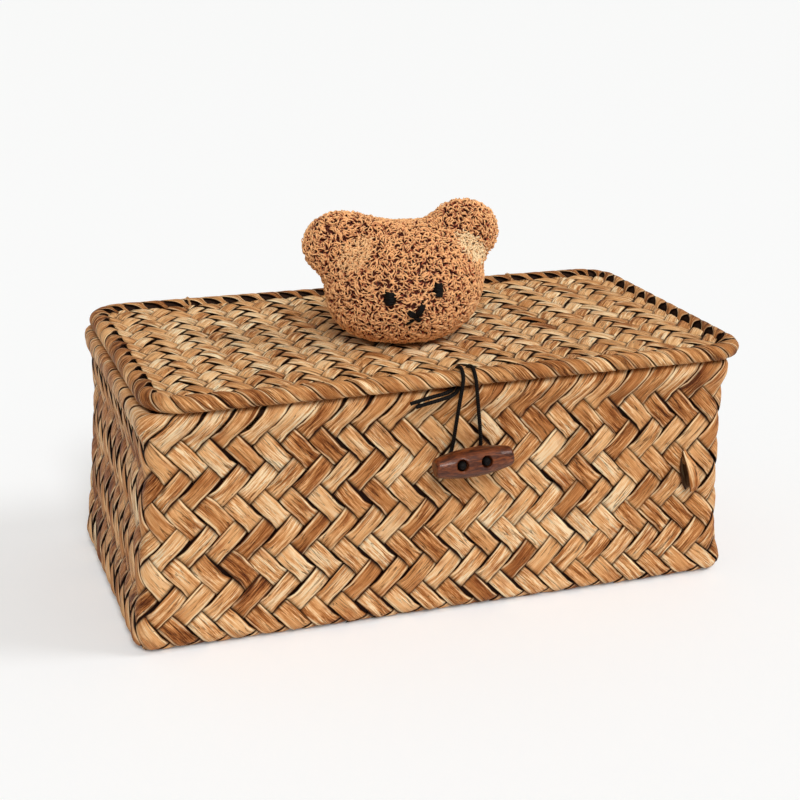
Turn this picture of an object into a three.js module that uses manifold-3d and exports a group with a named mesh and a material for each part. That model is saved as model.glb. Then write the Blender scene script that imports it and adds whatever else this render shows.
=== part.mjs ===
// A woven sedge box with a lid, a toggle closure and a plush bear head as its handle.
// The origin is on the plane of the flat base, straight below the middle of the rim.
// +X runs along the length, -Y is the front, +Z is up. All lengths are in millimetres.

import * as THREE from 'three';
import { mergeVertices } from 'three/addons/utils/BufferGeometryUtils.js';
import Module from 'manifold-3d';

const wasm = await Module();
wasm.setup();

// Sizes of the basket
const rimWidth = 292;
const rimDepth = 158.5;
const rimHeight = 118;
const rimCornerRadius = 10;
const baseWidth = 306.8;
const baseDepth = 151.3;
const baseCornerRadius = 11;
const baseEdgeRadius = 7;
const rimShiftForward = 2.9;
const wallThickness = 3;
const wallWaist = 1.2;

// Sizes of the rolled rims and the wires inside them
const beadDiameter = 8;
const rimWireDiameter = 2.6;
const wireClearance = 0.3;
const wallInset = 2;
const tuckLength = 7;
const tuckGap = 0.6;

// Sizes of the lid
const lidOverhangSide = 4;
const lidOverhangFront = 3.5;
const lidCornerRadius = 20.5;
const lidPanelThickness = 3;
const lidPanelRecess = 2.3;
const lidShiftRight = 3.4;
const lidShiftForward = 0.6;
const lidGap = 0.6;

// Gap between pieces that touch, and how far a cutter runs past what it cuts
const seatGap = 0.3;
const cutOverrun = 4;

// Sizes of the black cord and of its holes
const cordDiameter = 1.8;
const cordHoleDiameter = 2.8;
const cordHoleSetback = 0.1;
const cordHoleX = 2.4;
const cordHoleSpacing = 5.4;
const cordKnotDiameter = 4.2;
const cordKnotPlace = [2.4, -68.6, 118.5];
const tailDipFloor = 116.1;
const tailDipRadius = 30;
const tailDipX = -0.8;

// Sizes of the toggle and the thread that holds it
const toggleLength = 38.5;
const toggleDiameter = 14;
const toggleEndDiameter = 9.4;
const toggleX = 5;
const toggleHeight = 83.2;
const toggleTilt = 3.5;
const toggleRoll = 14;
const toggleHoleSpacing = 12;
const toggleHoleShift = -1.4;
const toggleHoleDiameter = 2.4;
const toggleSinkDiameter = 6;
const toggleSinkTaper = 1;
const toggleSinkDepth = 4.4;
const toggleKnotDiameter = 4.2;
const threadDiameter = 1.4;
const threadHoleDiameter = 2.2;
const shankGap = 3.9;

// Sizes of the hinge ties
const tieX = 92;
const tieDiameter = 1.8;
const tieKnotDiameter = 4.6;
const tieHoleDiameter = 3.4;
const tieHoleDrop = 0.2;

// Sizes of the curled strip end on the front wall
const curlSetback = 21.7;
const curlHeight = 61;
const curlLength = 20;
const curlOuterRadius = 4;
const curlInnerRadius = 2.7;
const curlTilt = -14;

// Sizes of the plush head
const headHalfWidth = 38;
const headHalfDepth = 27;
const headHalfHeight = 28.5;
const headX = -5.1;
const headY = -16.5;
const headTurn = -9;
const headRoll = -4.5;
const muzzleBulge = 3.2;
const muzzleHeight = -6;
const muzzleSpread = 13;
const earHalfWidth = 17;
const earHalfDepth = 9.5;
const earHalfHeight = 15;
const earX = 30;
const earRise = 21;
const earLeanBack = 2;
const liningHalfWidth = 6.5;
const liningHalfDepth = 3.4;
const liningHalfHeight = 8;
const liningPlaces = { left: [-25, -11.5, 18.4], right: [32.3, -7, 15] };
const faceRoll = 4;
const eyeHalfWidth = 2.6;
const eyeHalfHeight = 3.3;
const eyeHalfDepth = 2.4;
const eyeX = 11.4;
const eyeHeight = 0.6;
const noseArmLength = 4.6;
const noseArmThickness = 3;
const noseHeight = -7.5;
const noseArmAngle = 24;
const mouthArmLength = 4.6;
const mouthArmThickness = 1.9;
const mouthHeight = -11.8;
const mouthArmAngle = 32;
const tackSpacing = 8;
const tackDiameter = 1.4;
const tackHoleDiameter = 2.2;
const tackX = -5.8;
const tackY = -16.5;

// Numbers of facets
const cornerSteps = 5;
const tubeSides = 8;
const beadSteps = 9;
const foldSteps = 12;
const holeSides = 14;
const dipSides = 56;
const barrelSides = 20;
const curlSteps = 12;
const loopSteps = 46;
const rootSteps = 8;
const tailSteps = 10;
const threadSteps = 36;
const tieSteps = 30;
const tackSteps = 18;
const strokeSteps = 10;
const knotFacets = [10, 8];
const headFacets = [24, 16];
const earFacets = [18, 12];
const liningFacets = [14, 10];
const eyeFacets = [12, 8];

// Heights and places worked out from the sizes above
const beadRadius = beadDiameter / 2;
const wireHoleRadius = rimWireDiameter / 2 + wireClearance;
const rimBeadHeight = rimHeight - beadRadius;
const lidBottom = rimHeight + lidGap;
const lidBeadHeight = lidBottom + beadRadius;
const lidTop = lidBottom + beadDiameter;
const panelTop = lidTop - lidPanelRecess;
const panelBottom = panelTop - lidPanelThickness;
const hingeY = rimDepth / 2 - beadRadius;
const lidWidth = rimWidth + lidOverhangSide * 2;
const lidDepth = rimDepth + lidOverhangFront * 2;
const lidFrontBeadY = -lidShiftForward - lidDepth / 2 + beadRadius;
const lidBackBeadY = lidDepth / 2 - lidShiftForward - beadRadius;

// Materials, one for each finish
function finish(color, roughness, metalness = 0) {
  return new THREE.MeshStandardMaterial({ color, roughness, metalness });
}
const sedge = finish(0xc89b63, 0.72);
const lidSedge = finish(0xbf9968, 0.75);
const steelWire = finish(0x8a8a86, 0.45, 0.9);
const blackCord = finish(0x14110f, 0.8);
const toggleWood = finish(0x6b3218, 0.28);
const plush = finish(0xb98255, 0.95);
const earLining = finish(0xd9b07c, 0.95);

// Rounded rectangle at one height, its points counter-clockwise from above
function roundedRing(sides, inset, height) {
  const radius = Math.max(sides.radius - inset, sides.radius / (cornerSteps * cornerSteps));
  const corners = [
    [sides.right - inset - radius, sides.back - inset - radius],
    [sides.left + inset + radius, sides.back - inset - radius],
    [sides.left + inset + radius, sides.front + inset + radius],
    [sides.right - inset - radius, sides.front + inset + radius],
  ];
  const ring = [];
  corners.forEach(([x, y], quarter) => {
    for (let step = 0; step <= cornerSteps; step += 1) {
      const angle = (quarter + step / cornerSteps) * Math.PI / 2;
      ring.push(new THREE.Vector3(x + radius * Math.cos(angle), y + radius * Math.sin(angle), height));
    }
  });
  return ring;
}

// Closed body through rings of equal count, capped at both ends or joined end to start
function loft(rings, joined) {
  const count = rings[0].length;
  const positions = rings.flat().flatMap((point) => point.toArray());
  const index = [];
  const bands = joined ? rings.length : rings.length - 1;
  for (let band = 0; band < bands; band += 1) {
    const low = band * count;
    const high = ((band + 1) % rings.length) * count;
    for (let place = 0; place < count; place += 1) {
      const next = (place + 1) % count;
      index.push(low + place, low + next, high + next, low + place, high + next, high + place);
    }
  }
  const last = (rings.length - 1) * count;
  for (let place = 1; !joined && place < count - 1; place += 1) {
    index.push(0, place + 1, place, last, last + place, last + place + 1);
  }
  const geometry = new THREE.BufferGeometry();
  geometry.setAttribute('position', new THREE.Float32BufferAttribute(positions, 3));
  geometry.setIndex(index);
  return geometry;
}

// A geometry as a solid that can be cut, and back
function toSolid(geometry) {
  const bare = geometry.clone();
  bare.deleteAttribute('normal');
  bare.deleteAttribute('uv');
  const merged = mergeVertices(bare);
  return new wasm.Manifold(new wasm.Mesh({
    numProp: 3,
    vertProperties: new Float32Array(merged.attributes.position.array),
    triVerts: new Uint32Array(merged.index.array),
  }));
}

function toGeometry(solid) {
  const mesh = solid.getMesh();
  const geometry = new THREE.BufferGeometry();
  geometry.setAttribute('position', new THREE.BufferAttribute(new Float32Array(mesh.vertProperties), 3));
  geometry.setIndex(new THREE.BufferAttribute(new Uint32Array(mesh.triVerts), 1));
  return geometry;
}

function cut(geometry, cutters) {
  let solid = toSolid(geometry);
  cutters.forEach((cutter) => {
    solid = solid.subtract(toSolid(cutter));
  });
  return toGeometry(solid);
}

// A named mesh in the material of its piece
function piece(name, geometry, material) {
  const mesh = new THREE.Mesh(geometry, material);
  mesh.name = name;
  return mesh;
}

// Round bar between two points
function bar(from, to, diameter, sides = holeSides) {
  const start = new THREE.Vector3(...from);
  const end = new THREE.Vector3(...to);
  const along = end.clone().sub(start);
  const geometry = new THREE.CylinderGeometry(diameter / 2, diameter / 2, along.length(), sides);
  const turn = new THREE.Quaternion().setFromUnitVectors(new THREE.Vector3(0, 1, 0), along.normalize());
  geometry.applyQuaternion(turn);
  const middle = start.add(end).multiplyScalar(0.5);
  return geometry.translate(middle.x, middle.y, middle.z);
}

// Round tube along a smooth curve through points
function tube(points, diameter, steps) {
  const curve = new THREE.CatmullRomCurve3(points.map((point) => new THREE.Vector3(...point)));
  const section = [];
  for (let side = 0; side < tubeSides; side += 1) {
    const angle = (side / tubeSides) * Math.PI * 2;
    section.push(new THREE.Vector2(Math.cos(angle), Math.sin(angle)).multiplyScalar(diameter / 2));
  }
  return new THREE.ExtrudeGeometry(new THREE.Shape(section), { steps, extrudePath: curve });
}

function ball(halfSizes, across, down) {
  return new THREE.SphereGeometry(1, across, down).scale(...halfSizes);
}

function knotBall(diameter) {
  return ball(Array(3).fill(diameter / 2), ...knotFacets);
}

// Outer sides of the basket wall at a height, from the splayed base to the rim
function wallSides(height) {
  const rise = Math.min(Math.max(height / rimBeadHeight, 0), 1);
  const waist = wallWaist * Math.sin(rise * Math.PI);
  const topWidth = rimWidth - wallInset * 2;
  const topDepth = rimDepth - wallInset * 2;
  const halfWidth = THREE.MathUtils.lerp(baseWidth, topWidth, rise) / 2 - waist;
  const halfDepth = THREE.MathUtils.lerp(baseDepth, topDepth, rise) / 2 - waist;
  const shift = THREE.MathUtils.lerp(0, rimShiftForward, rise) - rimShiftForward;
  return {
    left: -halfWidth,
    right: halfWidth,
    front: -halfDepth - shift,
    back: halfDepth - shift,
    radius: THREE.MathUtils.lerp(baseCornerRadius, rimCornerRadius - wallInset, rise),
  };
}

const rimSides = {
  left: -rimWidth / 2,
  right: rimWidth / 2,
  front: -rimDepth / 2,
  back: rimDepth / 2,
  radius: rimCornerRadius,
};

const lidSides = {
  left: lidShiftRight - lidWidth / 2,
  right: lidShiftRight + lidWidth / 2,
  front: -lidShiftForward - lidDepth / 2,
  back: lidDepth / 2 - lidShiftForward,
  radius: lidCornerRadius,
};

// Ring on a circle round a rim wire: an angle of 0 points into the box, 90 points up
function beadRing(sides, radius, degrees, height) {
  const angle = THREE.MathUtils.degToRad(degrees);
  return roundedRing(sides, beadRadius + radius * Math.cos(angle), height + radius * Math.sin(angle));
}

function beadRings(sides, radius, from, to, height, steps) {
  const rings = [];
  for (let step = 0; step <= steps; step += 1) {
    rings.push(beadRing(sides, radius, THREE.MathUtils.lerp(from, to, step / steps), height));
  }
  return rings;
}

// Angle on a circle of the given radius at which it stands a given distance inward
function inwardAngle(distance, radius) {
  return THREE.MathUtils.radToDeg(Math.acos(distance / radius));
}

// The basket: walls and base woven as one, the strips rolled over the rim wire and tucked down inside
function basketShell() {
  const rings = [];
  const edgeShares = [0, 0.5, 1];
  edgeShares.forEach((share) => {
    const angle = share * Math.PI / 2;
    const height = baseEdgeRadius * (1 - Math.cos(angle));
    rings.push(roundedRing(wallSides(height), baseEdgeRadius * (1 - Math.sin(angle)), height));
  });
  const wallShares = [0.3, 0.55, 0.8];
  wallShares.forEach((share) => {
    const height = rimBeadHeight * share;
    rings.push(roundedRing(wallSides(height), 0, height));
  });
  const wallInner = wallInset + wallThickness;
  const outerMeet = inwardAngle(beadRadius - wallInset, beadRadius);
  rings.push(...beadRings(rimSides, beadRadius, 180 + outerMeet, 0, rimBeadHeight, beadSteps));
  const tuckBottom = rimBeadHeight - tuckLength;
  const tuckInner = wallInner + tuckGap;
  rings.push(roundedRing(rimSides, beadDiameter, tuckBottom));
  rings.push(roundedRing(rimSides, tuckInner, tuckBottom));
  const holeEnd = 360 - inwardAngle(wallInner - beadRadius, wireHoleRadius);
  const holeStart = inwardAngle(Math.min(tuckInner - beadRadius, wireHoleRadius), wireHoleRadius);
  rings.push(...beadRings(rimSides, wireHoleRadius, holeStart, holeEnd, rimBeadHeight, beadSteps));
  rings.push(roundedRing(rimSides, wallInner, tuckBottom));
  [...wallShares].reverse().slice(1).forEach((share) => {
    const height = rimBeadHeight * share;
    rings.push(roundedRing(wallSides(height), wallThickness, height));
  });
  [...edgeShares].reverse().forEach((share) => {
    const angle = share * Math.PI / 2;
    const height = wallThickness + (baseEdgeRadius - wallThickness) * (1 - Math.cos(angle));
    const inset = wallThickness + (baseEdgeRadius - wallThickness) * (1 - Math.sin(angle));
    rings.push(roundedRing(wallSides(height), inset, height));
  });
  return cut(loft(rings, false), [tailDip(), ...threadHoles(), ...tieWallHoles()]);
}

// Where the rim is pressed down under the two cord tails
function tailDip() {
  const reach = beadDiameter + cutOverrun;
  const y = -rimDepth / 2 + beadRadius;
  const height = tailDipFloor + tailDipRadius;
  return bar([tailDipX, y - reach, height], [tailDipX, y + reach, height], tailDipRadius * 2, dipSides);
}

// The closed wire inside a rolled rim
function rimWire(sides, height) {
  const rings = [];
  for (let side = 0; side < tubeSides; side += 1) {
    rings.push(beadRing(sides, rimWireDiameter / 2, 180 - (side / tubeSides) * 360, height));
  }
  return loft(rings, true);
}

// The lid: a woven panel whose strips are rolled over its own wire
function lidShell() {
  const topMeet = THREE.MathUtils.radToDeg(Math.asin((panelTop - lidBeadHeight) / beadRadius));
  const underDrop = (lidBeadHeight - panelBottom) / beadRadius;
  const underMeet = THREE.MathUtils.radToDeg(Math.asin(underDrop));
  const foldEnd = underMeet + THREE.MathUtils.radToDeg(tuckGap / wireHoleRadius);
  const panelInset = beadRadius + beadRadius * Math.cos(THREE.MathUtils.degToRad(underMeet));
  const rings = [roundedRing(lidSides, panelInset, panelBottom)];
  rings.push(...beadRings(lidSides, wireHoleRadius, -underMeet, 360 - foldEnd, lidBeadHeight, beadSteps));
  rings.push(...beadRings(lidSides, beadRadius, -foldEnd, topMeet - 360, lidBeadHeight, foldSteps));
  return cut(loft(rings, false), [...cordHoles(), ...tieLidHoles(), ...tackHoles()]);
}

// Holes
function cordHoles() {
  const y = lidFrontBeadY + beadRadius + cordHoleDiameter / 2 + cordHoleSetback;
  return [-1, 1].map((side) => {
    const x = cordHoleX + side * cordHoleSpacing / 2;
    return bar([x, y, panelBottom - cutOverrun], [x, y, panelTop + cutOverrun], cordHoleDiameter);
  });
}

function frontWallY(height) {
  return wallSides(height).front;
}

// The toggle's two holes: their places along it, and a point in each at a distance from its axis
function toggleHolePlaces() {
  return [-1, 1].map((side) => toggleHoleShift + side * toggleHoleSpacing / 2);
}

function inToggleHole(along, outward) {
  const tilt = THREE.MathUtils.degToRad(toggleTilt);
  const roll = THREE.MathUtils.degToRad(toggleRoll);
  const axisY = frontWallY(toggleHeight) - shankGap - toggleDiameter / 2;
  const rise = outward * Math.sin(roll);
  return [
    toggleX + along * Math.cos(tilt) - rise * Math.sin(tilt),
    axisY - outward * Math.cos(roll),
    toggleHeight + along * Math.sin(tilt) + rise * Math.cos(tilt),
  ];
}

function threadHoles() {
  const y = frontWallY(toggleHeight);
  return toggleHolePlaces().map((along) => {
    const [x, , z] = inToggleHole(along, -toggleDiameter / 2);
    return bar([x, y - cutOverrun, z], [x, y + wallThickness + cutOverrun, z], threadHoleDiameter);
  });
}

function tieWallPlace() {
  const height = rimBeadHeight - beadRadius - tieHoleDiameter / 2 - tieHoleDrop;
  return { y: wallSides(height).back - wallThickness / 2, z: height };
}

function tieWallHoles() {
  const { y, z } = tieWallPlace();
  return [-tieX, tieX].map((x) => (
    bar([x, y - tuckLength - cutOverrun, z], [x, y + tuckLength + cutOverrun, z], tieHoleDiameter)
  ));
}

function tieLidY() {
  return lidBackBeadY - beadRadius - tieHoleDiameter / 2 - cordHoleSetback;
}

function tieLidHoles() {
  const y = tieLidY();
  return [-tieX, tieX].map((x) => (
    bar([x, y, panelBottom - cutOverrun], [x, y, panelTop + cutOverrun], tieHoleDiameter)
  ));
}

function tackHoles() {
  return [-1, 1].map((side) => {
    const x = tackX + side * tackSpacing / 2;
    return bar([x, tackY, panelBottom - cutOverrun], [x, tackY, panelTop + cutOverrun], tackHoleDiameter);
  });
}

// The front loop of black cord, on one chosen route: over the lid's rim, down, round the thread and back
const loopRoute = [
  [-0.3, -79.70, 127.78], [-0.3, -81.50, 127.31], [-0.4, -83.28, 125.94], [-0.5, -84.32, 123.95],
  [-0.6, -84.42, 121.70], [-1.0, -83.10, 115.00], [-1.5, -81.30, 106.00], [-1.9, -79.55, 97.00],
  [-2.2, -78.40, 91.00], [-2.8, -77.90, 87.00], [-3.9, -77.80, 84.00], [-4.5, -77.80, 81.80],
  [-4.2, -77.80, 80.10], [-2.8, -77.80, 79.10], [3.6, -77.80, 79.00], [10.0, -77.80, 79.70],
  [11.4, -77.80, 80.60], [11.9, -77.80, 82.60], [11.9, -77.90, 86.00], [11.6, -78.40, 90.50],
  [10.6, -79.55, 97.00], [8.9, -81.30, 106.00], [7.2, -83.10, 115.00], [5.9, -84.42, 121.70],
  [5.5, -84.32, 123.95], [5.3, -83.28, 125.94], [5.2, -81.50, 127.31], [5.1, -79.70, 127.78],
];
const rootRoutes = {
  left: [
    [-0.3, -79.30, 127.80], [-0.3, -77.50, 127.40], [-0.3, -75.60, 126.30], [-0.3, -74.10, 124.40],
    [-0.3, -73.80, 122.60], [-0.3, -73.40, 120.90], [-0.1, -72.30, 119.80], [0.3, -71.10, 119.50],
  ],
  right: [
    [5.1, -79.30, 127.80], [5.1, -77.50, 127.40], [5.1, -75.60, 126.30], [5.1, -74.10, 124.40],
    [5.1, -73.80, 122.60], [5.1, -73.40, 120.90], [4.9, -72.30, 119.80], [4.5, -71.10, 119.50],
  ],
};
const tailRoutes = {
  upper: [
    [1.2, -70.90, 117.60], [-0.3, -73.50, 117.40], [-1.9, -76.00, 117.40], [-3.6, -79.00, 117.40],
    [-6.2, -81.80, 117.40], [-10.2, -83.70, 117.10], [-15.2, -84.30, 116.50], [-20.6, -84.40, 115.50],
    [-26.0, -84.30, 114.20],
  ],
  lower: [
    [3.5, -71.00, 117.50], [2.3, -73.50, 117.40], [0.9, -76.00, 117.40], [-0.6, -79.00, 117.40],
    [-2.9, -82.00, 116.80], [-6.6, -84.10, 115.80], [-12.0, -84.70, 114.80], [-17.8, -84.80, 113.70],
    [-23.4, -84.60, 112.40],
  ],
};

function frontCord() {
  const group = new THREE.Group();
  group.add(piece('loop_cord', tube(loopRoute, cordDiameter, loopSteps), blackCord));
  Object.entries(rootRoutes).forEach(([side, route]) => {
    group.add(piece(`loop_cord_root_${side}`, tube(route, cordDiameter, rootSteps), blackCord));
  });
  Object.entries(tailRoutes).forEach(([side, route]) => {
    group.add(piece(`cord_tail_${side}`, tube(route, cordDiameter, tailSteps), blackCord));
  });
  const mesh = piece('cord_knot', knotBall(cordKnotDiameter), blackCord);
  mesh.position.set(...cordKnotPlace);
  group.add(mesh);
  return group;
}

// The wooden toggle, its thread and the two knots that hold it
function toggleBarrel() {
  const endRadius = toggleEndDiameter / 2;
  const middleRadius = toggleDiameter / 2;
  const endShares = [[0.5, 0.3], [0.5, 0.8], [0.47, 1]];
  const swellShares = [[0.32, 0.5], [0.16, 0.87], [0, 1]];
  const outline = [
    ...endShares.map(([along, out]) => new THREE.Vector2(out * endRadius, along * toggleLength)),
    ...swellShares.map(([along, swell]) => (
      new THREE.Vector2(THREE.MathUtils.lerp(endRadius, middleRadius, swell), along * toggleLength)
    )),
  ];
  const barrel = [
    new THREE.Vector2(0, -toggleLength / 2),
    ...outline.map((point) => new THREE.Vector2(point.x, -point.y)),
    ...[...outline].reverse().slice(1),
    new THREE.Vector2(0, toggleLength / 2),
  ];
  return new THREE.LatheGeometry(barrel, barrelSides).rotateZ(-Math.PI / 2);
}

function toggleHoles() {
  const reach = toggleDiameter;
  return toggleHolePlaces().flatMap((along) => {
    const floor = (toggleSinkDiameter - toggleSinkTaper) / 2;
    const mouth = (toggleSinkDiameter + toggleSinkTaper) / 2;
    const sink = new THREE.CylinderGeometry(floor, mouth, toggleSinkDepth * 2, holeSides);
    sink.translate(along, -toggleDiameter / 2, 0);
    return [bar([along, -reach, 0], [along, reach, 0], toggleHoleDiameter), sink];
  });
}

function toggleGroup() {
  const group = new THREE.Group();
  const toggle = piece('toggle', cut(toggleBarrel(), toggleHoles()), toggleWood);
  toggle.position.set(...inToggleHole(0, 0));
  const roll = THREE.MathUtils.degToRad(toggleRoll);
  const tilt = THREE.MathUtils.degToRad(toggleTilt);
  toggle.rotation.set(-roll, -tilt, 0, 'YXZ');
  group.add(toggle);

  const sinkBottom = toggleDiameter / 2 - toggleSinkDepth;
  const knotOut = sinkBottom + seatGap + toggleKnotDiameter / 2;
  const wallY = frontWallY(toggleHeight);
  const insideY = wallY + wallThickness + seatGap + threadDiameter / 2;
  const ends = toggleHolePlaces().map((along, index) => {
    const knot = knotBall(toggleKnotDiameter);
    const mesh = piece(`toggle_knot_${index === 0 ? 'left' : 'right'}`, knot, blackCord);
    mesh.position.set(...inToggleHole(along, knotOut));
    group.add(mesh);
    const inward = index === 0 ? 1 : -1;
    const back = inToggleHole(along, -toggleDiameter / 2);
    return [
      inToggleHole(along, sinkBottom), inToggleHole(along, 0), back,
      [back[0], wallY, back[2]], [back[0], insideY - threadDiameter, back[2]],
      [back[0] + inward * threadDiameter / 2, insideY, back[2]],
    ];
  });
  const route = [...ends[0], ...ends[1].reverse()];
  group.add(piece('toggle_thread', tube(route, threadDiameter, threadSteps), blackCord));
  return group;
}

// The two ties of twisted sedge that hinge the lid, each a loop through wall and lid, closed by a knot
function hingeTies() {
  const group = new THREE.Group();
  const tieRadius = tieDiameter / 2;
  const clear = tieRadius + seatGap;
  const wall = tieWallPlace();
  const holeY = tieLidY();
  const beadOut = hingeY + beadRadius + clear;
  const lidOut = lidBackBeadY + beadRadius + clear;
  const insideY = hingeY - beadRadius - clear;
  const knotHalf = tieKnotDiameter / 2;
  const knotZ = (rimBeadHeight + panelBottom - tieDiameter) / 2 - clear / 2;
  const knotY = insideY - knotHalf + tieRadius;
  const diagonal = (beadRadius + clear) * Math.SQRT1_2;
  const route = [
    [knotY, knotZ - knotHalf - seatGap],
    [knotY + seatGap, knotZ - knotHalf - tieRadius],
    [insideY + clear / 4, wall.z + clear / 2],
    [wall.y - wallThickness, wall.z], [wall.y + wallThickness, wall.z],
    [beadOut, rimBeadHeight - clear / 2],
    [(beadOut + lidOut) / 2 + clear / 2, (rimBeadHeight + lidBeadHeight) / 2],
    [lidOut, lidBeadHeight],
    [lidBackBeadY + diagonal, lidBeadHeight + diagonal],
    [lidBackBeadY, lidTop + clear],
    [lidBackBeadY - diagonal, lidBeadHeight + diagonal],
    [holeY, panelTop], [holeY - seatGap, panelBottom],
    [knotY + seatGap, knotZ + knotHalf + seatGap + tieRadius],
    [knotY, knotZ + knotHalf + seatGap],
  ];
  [['left', -tieX], ['right', tieX]].forEach(([side, x]) => {
    const points = route.map(([y, z]) => [x, y, z]);
    group.add(piece(`hinge_tie_${side}`, tube(points, tieDiameter, tieSteps), sedge));
    const knot = piece(`hinge_tie_knot_${side}`, knotBall(tieKnotDiameter), sedge);
    knot.position.set(x, knotY, knotZ);
    group.add(knot);
  });
  return group;
}

// The end of one strip that stands out of the front wall as a half-open curl
function curledStripEnd() {
  const arc = new THREE.Shape();
  const open = THREE.MathUtils.degToRad(60);
  arc.absarc(0, 0, curlOuterRadius, Math.PI + open, Math.PI * 3 - open, false);
  arc.absarc(0, 0, curlInnerRadius, Math.PI * 3 - open, Math.PI + open, true);
  const options = { depth: curlLength, bevelEnabled: false, curveSegments: curlSteps };
  const geometry = new THREE.ExtrudeGeometry(arc, options);
  geometry.translate(0, 0, -curlLength / 2);
  const mesh = piece('curled_strip_end', geometry, sedge);
  const lowEnd = frontWallY(curlHeight - curlLength / 2);
  const highEnd = frontWallY(curlHeight + curlLength / 2);
  const lean = Math.atan2(lowEnd - highEnd, curlLength);
  const curlX = wallSides(curlHeight).right - curlSetback;
  mesh.position.set(curlX, (lowEnd + highEnd) / 2 - curlOuterRadius - seatGap, curlHeight);
  mesh.rotation.set(lean, THREE.MathUtils.degToRad(curlTilt), 0);
  return mesh;
}

// The plush head, in its own frame: the origin at its middle, the face towards -Y
function headBall(grow) {
  const halfSizes = [headHalfWidth + grow, headHalfDepth + grow, headHalfHeight + grow];
  const geometry = ball(halfSizes, ...headFacets);
  const place = geometry.attributes.position;
  for (let index = 0; index < place.count; index += 1) {
    const y = place.getY(index);
    const front = Math.max(-y / (headHalfDepth + grow), 0);
    const near = Math.hypot(place.getX(index), place.getZ(index) - muzzleHeight) / muzzleSpread;
    place.setY(index, y - muzzleBulge * front * Math.exp(-near * near));
  }
  return geometry;
}

function headSurfaceY(x, z) {
  const share = 1 - (x / headHalfWidth) ** 2 - (z / headHalfHeight) ** 2;
  const front = Math.sqrt(share);
  const near = Math.hypot(x, z - muzzleHeight) / muzzleSpread;
  return -headHalfDepth * front - muzzleBulge * front * Math.exp(-near * near);
}

function ear(side, grow) {
  const halfSizes = [earHalfWidth + grow, earHalfDepth + grow, earHalfHeight + grow];
  return ball(halfSizes, ...earFacets).translate(side * earX, earLeanBack, earRise);
}

function lining(name, side) {
  const geometry = ball([liningHalfWidth, liningHalfDepth, liningHalfHeight], ...liningFacets);
  geometry.translate(...liningPlaces[name]);
  return cut(geometry, [ear(side, seatGap), headBall(seatGap)]);
}

// A point on the face, which is stitched a little askew about its nose
function onFace(x, z) {
  const angle = THREE.MathUtils.degToRad(faceRoll);
  const rise = z - noseHeight;
  const faceX = x * Math.cos(angle) - rise * Math.sin(angle);
  const faceZ = noseHeight + x * Math.sin(angle) + rise * Math.cos(angle);
  return [faceX, headSurfaceY(faceX, faceZ), faceZ];
}

function eye(side) {
  const geometry = ball([eyeHalfWidth, eyeHalfDepth, eyeHalfHeight], ...eyeFacets);
  geometry.translate(...onFace(side * eyeX, eyeHeight));
  return cut(geometry, [headBall(seatGap)]);
}

// Two stitched strokes that meet in the middle, rising or falling to each side along the plush
function strokes(length, thickness, height, degrees) {
  const angle = THREE.MathUtils.degToRad(degrees);
  const armShares = [-1, -0.6, -0.2, 0, 0.2, 0.6, 1];
  const points = armShares.map((share) => {
    const x = share * length * Math.cos(angle);
    const z = height + Math.abs(share) * length * Math.sin(angle);
    return onFace(x, z);
  });
  return cut(tube(points, thickness, strokeSteps), [headBall(seatGap)]);
}

function bearHead() {
  const group = new THREE.Group();
  group.add(piece('bear_head', headBall(0), plush));
  [['left', -1], ['right', 1]].forEach(([name, side]) => {
    group.add(piece(`bear_ear_${name}`, cut(ear(side, 0), [headBall(seatGap)]), plush));
    group.add(piece(`bear_ear_lining_${name}`, lining(name, side), earLining));
    group.add(piece(`bear_eye_${name}`, eye(side), blackCord));
  });
  const nose = strokes(noseArmLength, noseArmThickness, noseHeight, noseArmAngle);
  const mouth = strokes(mouthArmLength, mouthArmThickness, mouthHeight, -mouthArmAngle);
  group.add(piece('bear_nose', nose, blackCord));
  group.add(piece('bear_mouth', mouth, blackCord));
  const roll = THREE.MathUtils.degToRad(headRoll);
  const restHeight = Math.hypot(headHalfWidth * Math.sin(roll), headHalfHeight * Math.cos(roll));
  group.position.set(headX, headY, panelTop + seatGap + restHeight);
  group.rotation.set(0, roll, THREE.MathUtils.degToRad(headTurn), 'ZXY');
  return group;
}

// The stitch that sews the head to the lid
function tackThread() {
  const left = tackX - tackSpacing / 2;
  const right = tackX + tackSpacing / 2;
  const under = panelBottom - seatGap - tackDiameter / 2;
  const corner = tackDiameter;
  return piece('bear_tack_thread', tube([
    [left, tackY, panelTop], [left, tackY, panelBottom + corner / 2], [left + corner / 2, tackY, under],
    [tackX, tackY, under],
    [right - corner / 2, tackY, under], [right, tackY, panelBottom + corner / 2], [right, tackY, panelTop],
  ], tackDiameter, tackSteps), blackCord);
}

const box = new THREE.Group();
box.add(piece('woven_basket', basketShell(), sedge));
box.add(piece('basket_rim_wire', rimWire(rimSides, rimBeadHeight), steelWire));
box.add(piece('woven_lid', lidShell(), lidSedge));
box.add(piece('lid_rim_wire', rimWire(lidSides, lidBeadHeight), steelWire));
box.add(hingeTies());
box.add(frontCord());
box.add(toggleGroup());
box.add(curledStripEnd());
box.add(bearHead());
box.add(tackThread());

export default box;
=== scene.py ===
# %% [markdown]
# # A plaited sedge box
# Dried sedge is flattened into strips about a centimetre wide and plaited into a box. Its lid is
# hinged with two ties, a black cord loop hooks under a wooden toggle, and a plush bear head is the
# handle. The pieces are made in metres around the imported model, which is loaded first and never
# changed. Lengths below are written in millimetres, and MM turns them into metres.

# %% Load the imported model
import math

import bmesh
import bpy
import numpy as np
from mathutils import Matrix, Vector
from mathutils.bvhtree import BVHTree


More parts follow.
